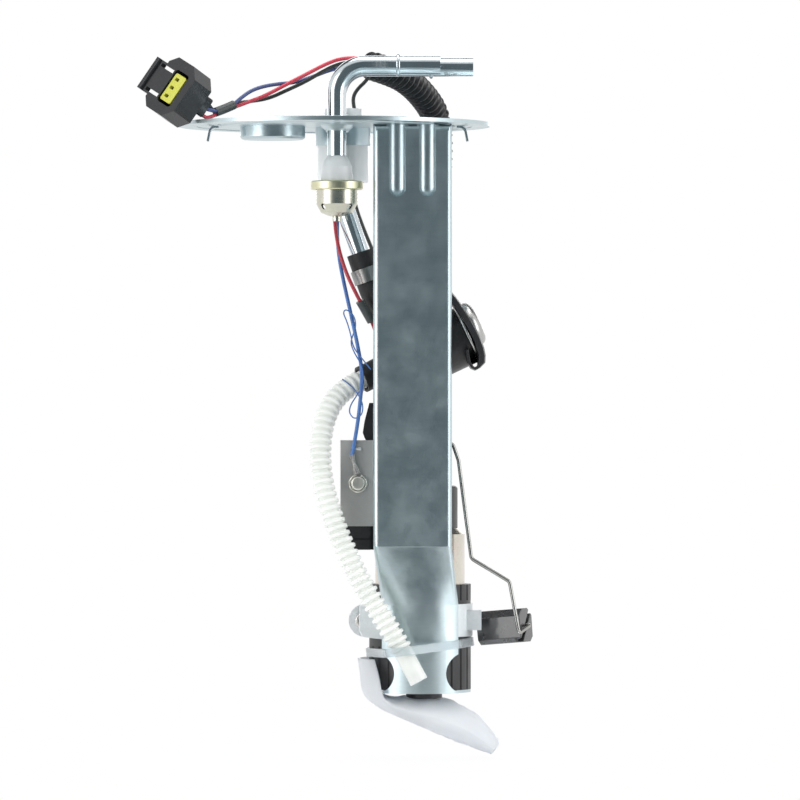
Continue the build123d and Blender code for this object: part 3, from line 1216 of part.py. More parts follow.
def float_body():
    """Closed-cell float with a slot across its open end for the wire."""
    along = float_frame()
    face = Vector(FLOAT_X, FLOAT_Y, FLOAT_Z)
    plane = Plane(origin=face, z_dir=along, x_dir=(0, 0, 1))
    body = extrude(plane * Circle(FLOAT_RADIUS), FLOAT_LENGTH)
    body = fillet(body.edges(), 0.8)
    slot = Rot(0, 0, 38) * Rectangle(FLOAT_RADIUS * 3, FLOAT_SLOT)
    body -= extrude(plane * slot, 3.0)
    body -= rod(face, face + along * 12.2, ARM_WIRE_RADIUS + 0.03)
    return body


def sender_screw():
    """Screw that clamps the earth pigtail to the plate."""
    head_y = PLATE_FRONT - 0.6
    shank = rod((SCREW_X, SENDER_FRONT + 2.5, SCREW_Z), (SCREW_X, head_y, SCREW_Z), SCREW_RADIUS)
    head = Rot(90, 0, 0) * Cylinder(SCREW_HEAD_RADIUS, 1.8)
    head = fillet(head.edges().sort_by(Axis.Y)[0], 0.9)
    cross = Box(3.4, 0.8, 0.8) + Box(0.8, 0.8, 3.4)
    return shank + Pos(SCREW_X, head_y - 0.9, SCREW_Z) * (head - Pos(0, -0.9, 0) * cross)


def screw_washer():
    """Washer under the screw's head."""
    outer = rod((SCREW_X, PLATE_FRONT - 0.6, SCREW_Z), (SCREW_X, PLATE_FRONT, SCREW_Z), WASHER_RADIUS)
    near, far = PLATE_FRONT - 2, PLATE_FRONT + 1
    return outer - rod((SCREW_X, near, SCREW_Z), (SCREW_X, far, SCREW_Z), SCREW_RADIUS + 0.02)


def strainer_fitting():
    """Collar that presses the strainer onto the pump's inlet."""
    high = SHELF_TOP_Z - SHEET - 0.1
    outline = [
        (INLET_RADIUS + 0.03, high),
        (FITTING_RADIUS, high),
        (FITTING_RADIUS, high - 2.3),
        (INLET_RADIUS + 1.2, high - 2.3),
        (INLET_RADIUS + 1.2, INLET_END_Z),
        (INLET_RADIUS + 0.03, INLET_END_Z),
    ]
    return turned(outline, INLET_X, INLET_Y)


def strainer_sock():
    """Flat filter bag that hangs under the pump and turns up beside it."""
    upper = [(12.6, -225.6), (13.6, -233.1), (14.4, -240.2), (20.8, -241.9), (27.0, -243.0), (47.5, -243.1)]
    upper += [(58.5, -247.6), (68.6, -260.2)]
    lower = [(68.8, -267.4), (56.0, -263.6), (41.0, -258.0), (28.5, -252.2), (19.2, -246.6), (13.0, -240.2)]
    lower += [(11.2, -234.0), (10.2, -226.0)]
    outline = Polyline(*upper) + Polyline(*lower) + Line(upper[-1], lower[0]) + Line(lower[-1], upper[0])
    side = Plane.XZ * make_face(outline)
    bag = extrude(side, SOCK_HALF_WIDTH, both=True)
    hole = disc(INLET_RADIUS + 1.6, INLET_END_Z - 1, CAN_BOTTOM_Z, INLET_X, INLET_Y)
    return bag - hole


def connector_plane():
    """The plane of the connector's mating face."""
    return Plane(origin=CONNECTOR_PLACE, x_dir=CONNECTOR_LONG, z_dir=CONNECTOR_OUT)


def connector_housing():
    """Plug housing with a shroud, a rear tail and a latch bridge on one side."""
    long, back, cut = CONNECTOR_HALF_LENGTH, CONNECTOR_BACK_Y, CONNECTOR_CHAMFER
    lower = [(-long, 3.0), (-long, back + cut), (-long + cut, back), (long - cut, back), (long, back + cut)]
    shroud = make_face(Polyline(*lower, (long, 3.0), close=True))
    body = extrude(shroud, -CONNECTOR_DEPTH)
    top = CONNECTOR_LATCH_Y
    half = LATCH_HALF_LENGTH
    upper = [(-long, 2.5), (long, 2.5), (long, top - 3.5), (long - 3.5, top), (half, top)]
    upper += [(half, LATCH_END_Y), (-half, LATCH_END_Y), (-half, top), (-long + 3.5, top), (-long, top - 3.5)]
    plate = make_face(Polyline(*upper, close=True))
    body += extrude(plate, -LATCH_THICKNESS)
    bar = box(-half, half, LATCH_END_Y - 2.6, LATCH_END_Y, -LATCH_THICKNESS - 1.5, 1.2)
    body += fillet(bar.edges().filter_by(Axis.X), 0.8)
    for side in (-1, 1):
        x = side * LATCH_SLOT_X
        body -= box(x - LATCH_SLOT_WIDTH / 2, x + LATCH_SLOT_WIDTH / 2, 3.4, 11.2, -LATCH_THICKNESS - 1, 2)
    tail = box(-3.0, 6.0, -4.0, 2.0, CONNECTOR_TAIL_Z, -CONNECTOR_DEPTH + 1)
    body += fillet(tail.edges().filter_by(Axis.Z), 1.2)
    pocket_x = INSERT_HALF_LENGTH + 1.4
    low_y, high_y = INSERT_Y - INSERT_HALF_WIDTH - 1.4, INSERT_Y + INSERT_HALF_WIDTH + 0.6
    pocket = box(-pocket_x, pocket_x, low_y, high_y, -POCKET_DEPTH, 1)
    body -= fillet(pocket.edges().filter_by(Axis.Z), 1.5)
    return connector_plane().location * body


def connector_insert():
    """Terminal lock in the middle of the mating face."""
    low_y, high_y = INSERT_Y - INSERT_HALF_WIDTH, INSERT_Y + INSERT_HALF_WIDTH
    insert = box(-INSERT_HALF_LENGTH, INSERT_HALF_LENGTH, low_y, high_y, -POCKET_DEPTH + END_GAP, -0.6)
    insert = fillet(insert.edges().filter_by(Axis.Z), 0.8)
    for number in (-1, 0, 1):
        x = number * CAVITY_PITCH
        insert -= box(x - 0.7, x + 0.7, INSERT_Y - 0.2, INSERT_Y + 2.0, -CAVITY_DEPTH, 1)
    return connector_plane().location * insert


def connector_terminals():
    """Three spring terminals in the lock's cavities."""
    blades = []
    for number in (-1, 0, 1):
        x = number * CAVITY_PITCH
        blade = box(x - 0.6, x + 0.6, INSERT_Y, INSERT_Y + 0.9, -CAVITY_DEPTH + END_GAP, -2.0)
        blades.append(connector_plane().location * blade)
    return Compound(children=blades)


def lead(name, routes, radius):
    """A wire in one or more stretches, as one group."""
    stretches = []
    for number, route in enumerate(routes):
        stretches.append(cord(f"{name}_{number}", route, radius))
    return stretches[0] if len(stretches) == 1 else Compound(children=stretches)


def wire_sleeve():
    """Heat-shrink sleeve on the red wire where it meets the bracket."""
    return rod(WIRE_RED[-1], WIRE_RED_LOW[0], WIRE_SLEEVE_RADIUS)


def pigtail():
    """Bare end of the blue wire, twisted down to the washer."""
    return rod(PIGTAIL_TOP, PIGTAIL_FOOT, PIGTAIL_RADIUS)


NODES = {
    "flange_plate": flange_plate,
    "locating_tabs": locating_tabs,
    "return_tube": return_tube,
    "supply_tube": supply_tube,
    "valve_dome": valve_dome,
    "valve_ring": valve_ring,
    "valve_cup": valve_cup,
    "valve_poppet": valve_poppet,
    "valve_spring": valve_spring,
    "bulkhead_body": bulkhead_body,
    "bulkhead_seal": bulkhead_seal,
    "hanger_bracket": hanger_bracket,
    "pump_can": pump_can,
    "pump_end_cap": pump_end_cap,
    "pump_inlet_cap": pump_inlet_cap,
    "magnets": magnets,
    "armature_shaft": armature_shaft,
    "armature": armature,
    "commutator": commutator,
    "brushes": brushes,
    "impeller": impeller,
    "pump_sleeve": pump_sleeve,
    "clamp_band": clamp_band,
    "ear_screw": ear_screw,
    "ear_nut": ear_nut,
    "zip_tie": zip_tie,
    "regulator_housing": regulator_housing,
    "regulator_can": regulator_can,
    "regulator_strap": regulator_strap,
    "supply_hose": supply_hose,
    "outlet_hose": outlet_hose,
    "hose_clamps": hose_clamps,
    "elbow_sleeve": elbow_sleeve,
    "return_hose": return_hose,
    "sender_plate": sender_plate,
    "sender_body": sender_body,
    "resistor_card": resistor_card,
    "float_arm": float_arm,
    "arm_hub": arm_hub,
    "wiper": wiper,
    "float": float_body,
    "sender_screw": sender_screw,
    "screw_washer": screw_washer,
    "strainer_fitting": strainer_fitting,
    "strainer_sock": strainer_sock,
    "connector_housing": connector_housing,
    "connector_insert": connector_insert,
    "connector_terminals": connector_terminals,
    "tape_sleeve": lambda: cord("tape_sleeve", TAPE, TAPE_RADIUS),
    "lead_red": lambda: lead("lead_red", [LEAD_RED_SHORT, LEAD_RED], LEAD_RADIUS),
    "lead_blue": lambda: lead("lead_blue", [LEAD_BLUE_SHORT, LEAD_BLUE], LEAD_RADIUS),
    "lead_black": lambda: lead("lead_black", [LEAD_BLACK_SHORT, LEAD_BLACK], LEAD_RADIUS),
    "loom": lambda: cord("loom", LOOM, LOOM_RADIUS),
    "tail_red": lambda: cord("tail_red", TAIL_RED, LEAD_RADIUS),
    "tail_blue": lambda: cord("tail_blue", TAIL_BLUE, LEAD_RADIUS),
    "wire_red": lambda: lead("wire_red", [WIRE_RED, WIRE_RED_LOW], INNER_WIRE_RADIUS),
    "wire_blue": lambda: cord("wire_blue", WIRE_BLUE, INNER_WIRE_RADIUS),
    "wire_black": lambda: cord("wire_black", WIRE_BLACK, INNER_WIRE_RADIUS),
    "wire_sleeve": wire_sleeve,
    "pigtail": pigtail,
}


def main():
    """Writes each node to its own file."""
    os.makedirs("parts", exist_ok=True)
    for name, make in NODES.items():
        export_step(make(), f"parts/{name}.step")


main()
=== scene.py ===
import math

import bpy
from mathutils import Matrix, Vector, noise


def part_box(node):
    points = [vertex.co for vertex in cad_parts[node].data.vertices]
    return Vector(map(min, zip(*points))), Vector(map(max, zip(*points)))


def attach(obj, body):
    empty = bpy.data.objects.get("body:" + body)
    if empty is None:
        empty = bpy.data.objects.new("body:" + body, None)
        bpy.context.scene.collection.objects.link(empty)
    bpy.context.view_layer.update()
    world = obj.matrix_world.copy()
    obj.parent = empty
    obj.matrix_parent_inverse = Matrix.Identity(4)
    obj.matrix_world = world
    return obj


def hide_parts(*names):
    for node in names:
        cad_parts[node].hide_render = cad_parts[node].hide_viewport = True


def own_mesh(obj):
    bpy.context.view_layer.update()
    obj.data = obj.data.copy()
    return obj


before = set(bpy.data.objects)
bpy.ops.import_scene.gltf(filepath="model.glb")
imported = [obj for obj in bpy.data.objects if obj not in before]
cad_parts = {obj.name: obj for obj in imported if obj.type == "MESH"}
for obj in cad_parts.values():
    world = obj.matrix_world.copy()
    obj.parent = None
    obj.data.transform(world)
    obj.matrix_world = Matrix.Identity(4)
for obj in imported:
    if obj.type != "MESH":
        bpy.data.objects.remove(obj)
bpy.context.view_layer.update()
scene = bpy.context.scene
scene.view_settings.view_transform = "Standard"
MM = 0.001
FULL_TURN = 2 * math.pi


# Camera: level and straight on to the web
camera = bpy.data.objects.new("camera", bpy.data.cameras.new("camera"))
scene.collection.objects.link(camera)
camera.location = (0.028, -2.6, -0.1162)
camera.rotation_euler = (math.radians(90), 0, 0)
camera.data.lens = 275.0
camera.data.sensor_width = 36.0
camera.data.clip_start = 0.05
camera.data.clip_end = 50.0
scene.camera = camera


# Cords
def nurbs(name, points, radius):
    """A cord as one open spline through the given control points, in millimetres."""
    curve = bpy.data.curves.new(name, "CURVE")
    curve.dimensions = "3D"
    curve.resolution_u = 10
    # Each point carries the cord's radius, because a curve's bounds are read from its points
    curve.bevel_depth = 1.0
    curve.bevel_resolution = 6
    curve.use_fill_caps = True
    spline = curve.splines.new("NURBS")
    spline.points.add(len(points) - 1)
    for knot, point in zip(spline.points, points):
        knot.co = (point[0] * MM, point[1] * MM, point[2] * MM, 1.0)
        knot.radius = radius * MM
    spline.order_u = 3
    spline.use_endpoint_u = True
    piece = bpy.data.objects.new(name, curve)
    scene.collection.objects.link(piece)
    return piece


def centreline(piece):
    """Points along a curve's own line, in metres."""
    bare = piece.data.copy()
    bare.bevel_depth = 0.0
    probe = bpy.data.objects.new("probe", bare)
    scene.collection.objects.link(probe)
    bpy.context.view_layer.update()
    mesh = bpy.data.meshes.new_from_object(probe)
    points = [v.co.copy() for v in mesh.vertices]
    bpy.data.objects.remove(probe)
    bpy.data.meshes.remove(mesh)
    bpy.data.curves.remove(bare)
    return points


def spaced(points, step):
    """The same line as points an even step apart."""
    lengths = [0.0]
    for before, here in zip(points, points[1:]):
        lengths.append(lengths[-1] + (here - before).length)
    count = max(2, round(lengths[-1] / step))
    out = []
    index = 0
    for number in range(count + 1):
        goal = lengths[-1] * number / count
        while index < len(points) - 2 and lengths[index + 1] < goal:
            index += 1
        run = lengths[index + 1] - lengths[index]
        share = 0.0 if run == 0 else (goal - lengths[index]) / run
        out.append(points[index].lerp(points[index + 1], share))
    return out


def guide_line(points, step):
    """Points an even step apart along the cord that these control points would make."""
    guide = nurbs("guide", points, 0.0)
    line = spaced(centreline(guide), step)
    bpy.data.objects.remove(guide)
    return line


def length_of(points):
    return sum((b - a).length for a, b in zip(points, points[1:]))


LEAD_RED_SHORT = [(-56.95, -18.33, 5.36), (-55.4, -16.2, 4.0), (-53.2, -14.2, 2.95), (-50.1, -10.85, 4.68)]
LEAD_BLUE_SHORT = [(-55.45, -18.33, 7.6), (-53.0, -15.9, 6.2), (-49.92, -11.85, 6.18)]
LEAD_BLACK_SHORT = [(-53.95, -18.33, 9.85), (-53.1, -14.9, 9.1), (-51.04, -10.44, 6.18)]
TAPE = [(-50.3, -11.0, 5.7), (-46.6, -8.1, 7.1), (-42.6, -5.0, 9.15)]
LEAD_RED = [
    (-42.25, -4.73, 8.2),
    (-36.2, -2.0, 10.6),
    (-29.3, 0.4, 13.3),
    (-19.3, 4.0, 18.9),
    (-11.2, 7.0, 23.2),
    (-4.4, 8.8, 26.9),
    (1.9, 9.8, 29.5),
    (8.1, 10.8, 30.0),
    (12.2, 12.0, 29.7),
    (15.9, 13.5, 28.9),
]
LEAD_BLUE = [
    (-42.15, -5.8, 9.7),
    (-37.6, -2.8, 14.0),
    (-32.2, 0.4, 16.8),
    (-24.6, 4.4, 18.5),
    (-17.0, 8.4, 19.2),
    (-9.6, 11.2, 21.8),
    (-1.6, 12.2, 25.0),
    (4.6, 12.8, 26.2),
    (9.8, 13.2, 26.4),
    (15.0, 13.7, 25.8),
]
LEAD_BLACK = [
    (-43.3, -4.0, 9.8),
    (-36.2, 1.0, 10.8),
    (-28.0, 3.8, 12.2),
    (-20.4, 6.0, 15.8),
    (-12.0, 8.0, 19.8),
    (-4.6, 9.8, 24.4),
    (1.2, 10.8, 27.2),
    (6.6, 10.4, 28.2),
    (10.8, 9.6, 28.4),
    (13.9, 8.8, 26.6),
    (15.3, 8.3, 23.2),
    (13.6, 8.6, 20.0),
    (10.4, 10.2, 17.2),
    (8.2, 12.4, 14.2),
    (7.9, 14.6, 10.8),
    (8.7, 15.8, 7.4),
]
LOOM = [
    (15.4, 13.6, 26.8),
    (24.6, 22.6, 24.6),
    (32.6, 33.6, 20.6),
    (39.2, 45.6, 14.2),
    (43.6, 56.2, 7.6),
    (45.0, 61.6, -3.0),
    (44.6, 62.4, -16.2),
    (43.0, 61.8, -30.0),
]
TAIL_RED = [(39.9, 48.6, 5.4), (34.4, 44.2, 3.6), (26.6, 37.6, 3.7), (17.0, 29.6, 3.3), (7.0, 21.8, 3.5)]
TAIL_BLUE = [(38.8, 46.6, 5.6), (34.4, 40.8, 3.6), (27.2, 32.8, 3.7), (19.0, 24.9, 3.3), (10.2, 18.4, 3.5)]
WIRE_RED = [
    (1.2, 18.6, -4.6),
    (1.0, 17.6, -18.0),
    (0.2, 13.0, -28.0),
    (0.0, 5.6, -38.8),
    (1.2, -2.6, -48.6),
    (3.6, -7.6, -58.0),
    (7.0, -9.4, -66.6),
    (11.0, -8.6, -74.2),
]
WIRE_RED_LOW = [
    (15.9, -6.0, -82.8),
    (19.0, 2.4, -90.2),
    (22.4, 11.0, -100.6),
    (26.0, 14.2, -115.6),
    (29.4, 12.0, -130.0),
    (30.5, 9.5, -141.5),
    (30.5, 9.5, -151.2),
]
WIRE_BLUE = [
    (4.6, 12.6, -4.6),
    (4.0, 12.4, -18.0),
    (2.4, 10.4, -29.6),
    (1.0, 6.8, -41.6),
    (1.8, 0.0, -54.6),
    (4.4, -5.6, -67.6),
    (7.6, -9.2, -81.6),
    (10.4, -11.0, -94.6),
    (12.2, -12.4, -105.6),
    (11.2, -14.0, -116.6),
    (9.8, -15.6, -128.6),
    (7.7, -15.9, -139.6),
]
WIRE_BLACK = [
    (8.9, 16.0, -4.6),
    (8.2, 15.2, -18.0),
    (8.0, 13.6, -30.6),
    (12.6, 13.0, -43.6),
    (18.6, 13.6, -57.6),
    (26.6, 14.6, -75.6),
    (35.0, 15.0, -95.6),
    (41.2, 14.0, -115.6),
    (42.6, 11.6, -131.0),
    (42.5, 9.5, -141.5),
    (42.5, 9.5, -151.2),
]
RETURN_HOSE = [
    (14.8, -0.5, -106.0),
    (5.6, -4.2, -110.6),
    (-1.6, -8.4, -117.8),
    (-5.2, -12.4, -128.6),
    (-6.0, -16.0, -141.4),
    (-4.4, -19.2, -153.3),
    (-0.2, -22.4, -166.6),
    (4.8, -25.2, -179.0),
    (10.4, -27.4, -190.8),
    (16.4, -28.6, -200.9),
    (23.0, -28.9, -211.5),
    (29.4, -28.9, -222.4),
    (36.0, -29.2, -234.7),
]


# Mesh makers
def mesh_piece(name, points, faces, smooth=True):
    mesh = bpy.data.meshes.new(name)
    mesh.from_pydata([tuple(p) for p in points], [], faces)
    mesh.update()
    for polygon in mesh.polygons:
        polygon.use_smooth = smooth
    piece = bpy.data.objects.new(name, mesh)
    scene.collection.objects.link(piece)
    return piece


def rounded(piece, width):
    """Rounds a piece's sharp edges by this many millimetres."""
    rounding = piece.modifiers.new("rounding", "BEVEL")
    rounding.width = width * MM
    rounding.segments = 3
    rounding.limit_method = "ANGLE"
    rounding.angle_limit = math.radians(30)


def frames_along(points):
    """Two cross vectors at each point, turned as little as possible from one to the next."""
    out = []
    tangents = []
    for number in range(len(points)):
        before = points[max(number - 1, 0)]
        after = points[min(number + 1, len(points) - 1)]
        tangents.append((after - before).normalized())
    side = tangents[0].orthogonal().normalized()
    for tangent in tangents:
        side = (side - tangent * side.dot(tangent)).normalized()
        out.append((side, tangent.cross(side)))
    return out


BORE_DEPTH = 0.004


def swept(name, points, radius_at, around=32, inner=None):
    """A cord whose radius_at(number, angle) is in metres; with inner, both ends are bored to that radius."""
    crosses = frames_along(points)
    verts = []
    for number, (point, (side, up)) in enumerate(zip(points, crosses)):
        for step in range(around):
            angle = FULL_TURN * step / around
            radius = radius_at(number, angle)
            verts.append(point + (side * math.cos(angle) + up * math.sin(angle)) * radius)
    faces = []
    for number in range(len(points) - 1):
        for step in range(around):
            near = number * around + step
            turn = number * around + (step + 1) % around
            faces.append((near, turn, turn + around, near + around))
    if inner is None:
        faces.append(tuple(range(around))[::-1])
        faces.append(tuple(range((len(points) - 1) * around, len(points) * around)))
        return mesh_piece(name, verts, faces)
    for end, flip in ((0, True), (len(points) - 1, False)):
        point = points[end]
        side, up = crosses[end]
        step_in = (points[1] - points[0]) if end == 0 else (points[-2] - points[-1])
        deep = point + step_in.normalized() * BORE_DEPTH
        base = len(verts)
        for place in (point, deep):
            for step in range(around):
                angle = FULL_TURN * step / around
                verts.append(place + (side * math.cos(angle) + up * math.sin(angle)) * inner)
        for step in range(around):
            after = (step + 1) % around
            rim = (end * around + step, end * around + after, base + after, base + step)
            wall = (base + step, base + after, base + around + after, base + around + step)
            faces.append(rim if flip else rim[::-1])
            faces.append(wall if flip else wall[::-1])
        cap = tuple(base + around + step for step in range(around))
        faces.append(cap[::-1] if flip else cap)
    return mesh_piece(name, verts, faces)


def lofted(name, rings, bevel=0.0):
    """A closed skin over rings of equally many points, its sharp edges rounded by this many millimetres."""
    around = len(rings[0])
    verts = [point * MM for ring in rings for point in ring]
    faces = [tuple(range(around))[::-1], tuple(range(len(verts) - around, len(verts)))]
    for base in range(0, len(verts) - around, around):
        for step in range(around):
            near, turn = base + step, base + (step + 1) % around
            faces.append((near, turn, turn + around, near + around))
    piece = mesh_piece(name, verts, faces, smooth=bevel == 0.0)
    if bevel:
        rounded(piece, bevel)
    return piece


# Materials
class Nodes:
    """A material's node tree with short calls."""

    def __init__(self, name):
        self.material = bpy.data.materials.new(name)
        self.material.use_nodes = True
        self.tree = self.material.node_tree
        self.tree.nodes.clear()
        self.out = self.tree.nodes.new("ShaderNodeOutputMaterial")
        self.shader = self.tree.nodes.new("ShaderNodeBsdfPrincipled")
        self.link(self.shader.outputs[0], self.out.inputs[0])
        self.place = self.tree.nodes.new("ShaderNodeTexCoord").outputs["Object"]

    def link(self, source, target):
        self.tree.links.new(source, target)

    def put(self, socket, value):
        self.shader.inputs[socket].default_value = value

    def noise(self, scale, detail=4.0, rough=0.55, stretch=None):
        node = self.tree.nodes.new("ShaderNodeTexNoise")
        node.inputs["Scale"].default_value = scale
        node.inputs["Detail"].default_value = detail
        node.inputs["Roughness"].default_value = rough
        self.link(self.scaled(stretch), node.inputs["Vector"])
        return node.outputs["Fac"]

    def scaled(self, stretch):
        if stretch is None:
            return self.place
        node = self.tree.nodes.new("ShaderNodeMapping")
        node.inputs["Scale"].default_value = stretch
        self.link(self.place, node.inputs["Vector"])
        return node.outputs[0]

    def wave(self, scale, axis):
        node = self.tree.nodes.new("ShaderNodeTexWave")
        node.bands_direction = axis
        node.inputs["Scale"].default_value = scale
        self.link(self.place, node.inputs["Vector"])
        return node.outputs["Fac"]

    def cells(self, scale):
        node = self.tree.nodes.new("ShaderNodeTexVoronoi")
        node.inputs["Scale"].default_value = scale
        self.link(self.place, node.inputs["Vector"])
        return node.outputs["Distance"]

    def ramp(self, value, stops):
        node = self.tree.nodes.new("ShaderNodeValToRGB")
        ramp = node.color_ramp
        while len(ramp.elements) > 1:
            ramp.elements.remove(ramp.elements[-1])
        ramp.elements[0].position = stops[0][0]
        ramp.elements[0].color = (*stops[0][1], 1.0)
        for position, colour in stops[1:]:
            ramp.elements.new(position).color = (*colour, 1.0)
        self.link(value, node.inputs[0])
        return node.outputs[0]

    def span(self, value, low_in, high_in, low, high):
        """Maps low_in..high_in to low..high."""
        node = self.tree.nodes.new("ShaderNodeMapRange")
        limits = (low_in, high_in, low, high)
        for socket, number in zip(("From Min", "From Max", "To Min", "To Max"), limits):
            node.inputs[socket].default_value = number
        self.link(value, node.inputs[0])
        return node.outputs[0]

    def mix(self, factor, first, second):
        node = self.tree.nodes.new("ShaderNodeMix")
        node.data_type = "RGBA"
        for socket, value in ((0, factor), (6, first), (7, second)):
            if isinstance(value, tuple):
                node.inputs[socket].default_value = (*value, 1.0)
            else:
                self.link(value, node.inputs[socket])
        return node.outputs[2]

    def maths(self, operation, first, second):
        node = self.tree.nodes.new("ShaderNodeMath")
        node.operation = operation
        for socket, value in ((0, first), (1, second)):
            if isinstance(value, (int, float)):
                node.inputs[socket].default_value = value
            else:
                self.link(value, node.inputs[socket])
        return node.outputs[0]

    def axis(self, name):
        node = self.tree.nodes.new("ShaderNodeSeparateXYZ")
        self.link(self.place, node.inputs[0])
        return node.outputs[name]

    def bump(self, height, distance, strength=1.0, under=None):
        node = self.tree.nodes.new("ShaderNodeBump")
        node.inputs["Strength"].default_value = strength
        node.inputs["Distance"].default_value = distance
        self.link(height, node.inputs["Height"])
        if under is not None:
            self.link(under, node.inputs["Normal"])
        return node.outputs[0]


# Pattern scales, in repeats per metre
METAL_GRAIN = 900.0
FLECKS = 420.0
DENTS = 60.0
DUST = 700.0
WEAVE = 900.0
TUBE_RIPPLES = 560.0


def plated(name, dark, pale, rough=0.3, cloud=22.0, grain=None, tint=None, tint_share=0.35):
    """Plated or bare steel: cloudy passivation, fine grain, small flecks and uneven gloss."""
    n = Nodes(name)
    cloudy = n.noise(cloud, 5.0, 0.6)
    colour = n.ramp(cloudy, [(0.3, dark), (0.72, pale)])
    if tint is not None:
        patches = n.span(n.noise(cloud * 1.7, 3.0, 0.5), 0.48, 0.72, 0.0, tint_share)
        colour = n.mix(patches, colour, tint)
    fine = n.noise(METAL_GRAIN, 3.0, 0.6, grain)
    colour = n.mix(n.span(fine, 0.35, 0.7, 0.0, 0.16), colour, tuple(c * 0.72 for c in dark))
    specks = n.span(n.cells(FLECKS), 0.0, 0.05, 0.35, 0.0)
    colour = n.mix(specks, colour, tuple(min(c * 1.25, 0.95) for c in pale))
    n.link(colour, n.shader.inputs["Base Color"])
    n.put("Metallic", 1.0)
    gloss = n.span(n.noise(cloud * 2.6, 4.0, 0.65), 0.3, 0.75, rough * 0.82, rough * 1.28)
    n.link(gloss, n.shader.inputs["Roughness"])
    relief = n.bump(fine, 0.00003, 0.5)
    n.link(n.bump(n.noise(DENTS, 2.0, 0.5), 0.0004, 0.12, relief), n.shader.inputs["Normal"])
    return n


def moulded(name, dark, pale, rough=0.45, grain=1400.0, relief=0.00004, patches=35.0):
    """Moulded plastic or rubber: faint mottling, fine surface grain and uneven gloss."""
    n = Nodes(name)
    colour = n.ramp(n.noise(patches, 4.0, 0.6), [(0.3, dark), (0.75, pale)])
    dust = n.span(n.noise(DUST, 2.0, 0.6), 0.62, 0.8, 0.0, 0.25)
    colour = n.mix(dust, colour, tuple(min(c * 1.6 + 0.02, 1.0) for c in pale))
    n.link(colour, n.shader.inputs["Base Color"])
    gloss = n.span(n.noise(patches * 3, 3.0, 0.6), 0.3, 0.7, rough * 0.85, rough * 1.2)
    n.link(gloss, n.shader.inputs["Roughness"])
    n.link(n.bump(n.noise(grain, 3.0, 0.6), relief, 0.6), n.shader.inputs["Normal"])
    return n


def milky(name, shade, pale, rough=0.35, weight=0.5, through=0.0):
    """Translucent natural plastic."""
    n = moulded(name, shade, pale, rough, 500.0, 0.00002, 28.0)
    n.put("Subsurface Weight", weight)
    n.put("Subsurface Radius", (0.004, 0.004, 0.004))
    n.put("Subsurface Scale", 1.0)
    n.put("Transmission Weight", through)
    n.put("IOR", 1.5)
    return n


def insulation(name, dark, pale, rough=0.32):
    """A wire's smooth plastic cover."""
    return moulded(name, dark, pale, rough, 700.0, 0.00002)


def dress(target, nodes):
    """Gives a piece, or the CAD node of that name, this material in every slot."""
    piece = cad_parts[target] if isinstance(target, str) else target
    if len(piece.material_slots) == 0:
        piece.data.materials.append(nodes.material)
    for number in range(len(piece.material_slots)):
        piece.material_slots[number].link = "OBJECT"
        piece.material_slots[number].material = nodes.material


zinc = plated(
    "zinc", (0.525, 0.62, 0.655), (0.60, 0.69, 0.715), 0.34, 30.0, (0.2, 1, 1), (0.52, 0.66, 0.66), 0.3
)
band_metal = plated("band_metal", (0.80, 0.85, 0.87), (0.92, 0.94, 0.95), 0.58, 40.0)
TUBE_DARK, TUBE_PALE = (0.55, 0.61, 0.64), (0.74, 0.80, 0.83)
supply_zinc = plated("supply_zinc", TUBE_DARK, TUBE_PALE, 0.13, 30.0)
zinc_tube = plated("zinc_tube", TUBE_DARK, TUBE_PALE, 0.13, 30.0)
# The return tube is rippled only at its bend, between these places along X in metres
at_bend = zinc_tube.maths(
    "MULTIPLY",
    zinc_tube.span(zinc_tube.axis("X"), 0.010, 0.018, 0.0, 1.0),
    zinc_tube.span(zinc_tube.axis("X"), 0.022, 0.027, 1.0, 0.0),
)
ripples = zinc_tube.maths("MULTIPLY", zinc_tube.wave(TUBE_RIPPLES, "X"), at_bend)
zinc_tube.link(zinc_tube.bump(ripples, 0.00012, 0.5), zinc_tube.shader.inputs["Normal"])
yellow_zinc = plated(
    "yellow_zinc", (0.66, 0.64, 0.42), (0.80, 0.79, 0.58), 0.36, 60.0, tint=(0.78, 0.66, 0.60), tint_share=0.5
)
pump_zinc = plated(
    "pump_zinc", (0.62, 0.58, 0.50), (0.78, 0.74, 0.66), 0.22, 40.0, tint=(0.80, 0.62, 0.60), tint_share=0.6
)
cup_metal = plated("cup_metal", (0.56, 0.55, 0.47), (0.76, 0.75, 0.65), 0.27, 60.0, tint=(0.72, 0.75, 0.60))
stainless = plated("stainless", (0.56, 0.555, 0.54), (0.72, 0.71, 0.69), 0.5, 25.0, (1, 1, 6))
screw_metal = plated("screw_metal", (0.70, 0.69, 0.63), (0.88, 0.87, 0.81), 0.42, 90.0)
wire_steel = plated("wire_steel", (0.36, 0.36, 0.34), (0.56, 0.55, 0.53), 0.26, 70.0, (1, 1, 0.1))
can_metal = plated("can_metal", (0.42, 0.42, 0.41), (0.62, 0.62, 0.60), 0.3, 45.0)
clamp_metal = plated("clamp_metal", (0.24, 0.24, 0.235), (0.44, 0.435, 0.42), 0.36, 90.0, (6, 1, 1))
iron = plated("iron", (0.20, 0.20, 0.21), (0.34, 0.34, 0.35), 0.45, 60.0)
copper = plated("copper", (0.52, 0.27, 0.17), (0.72, 0.42, 0.28), 0.3, 80.0)
magnet = moulded("magnet", (0.05, 0.05, 0.055), (0.10, 0.10, 0.11), 0.5)
black_plastic = moulded("black_plastic", (0.012, 0.012, 0.013), (0.028, 0.028, 0.030), 0.36)
grey_plastic = moulded("grey_plastic", (0.014, 0.015, 0.016), (0.028, 0.029, 0.032), 0.2)
yellow_plastic = moulded("yellow_plastic", (0.52, 0.52, 0.055), (0.66, 0.66, 0.13), 0.42)
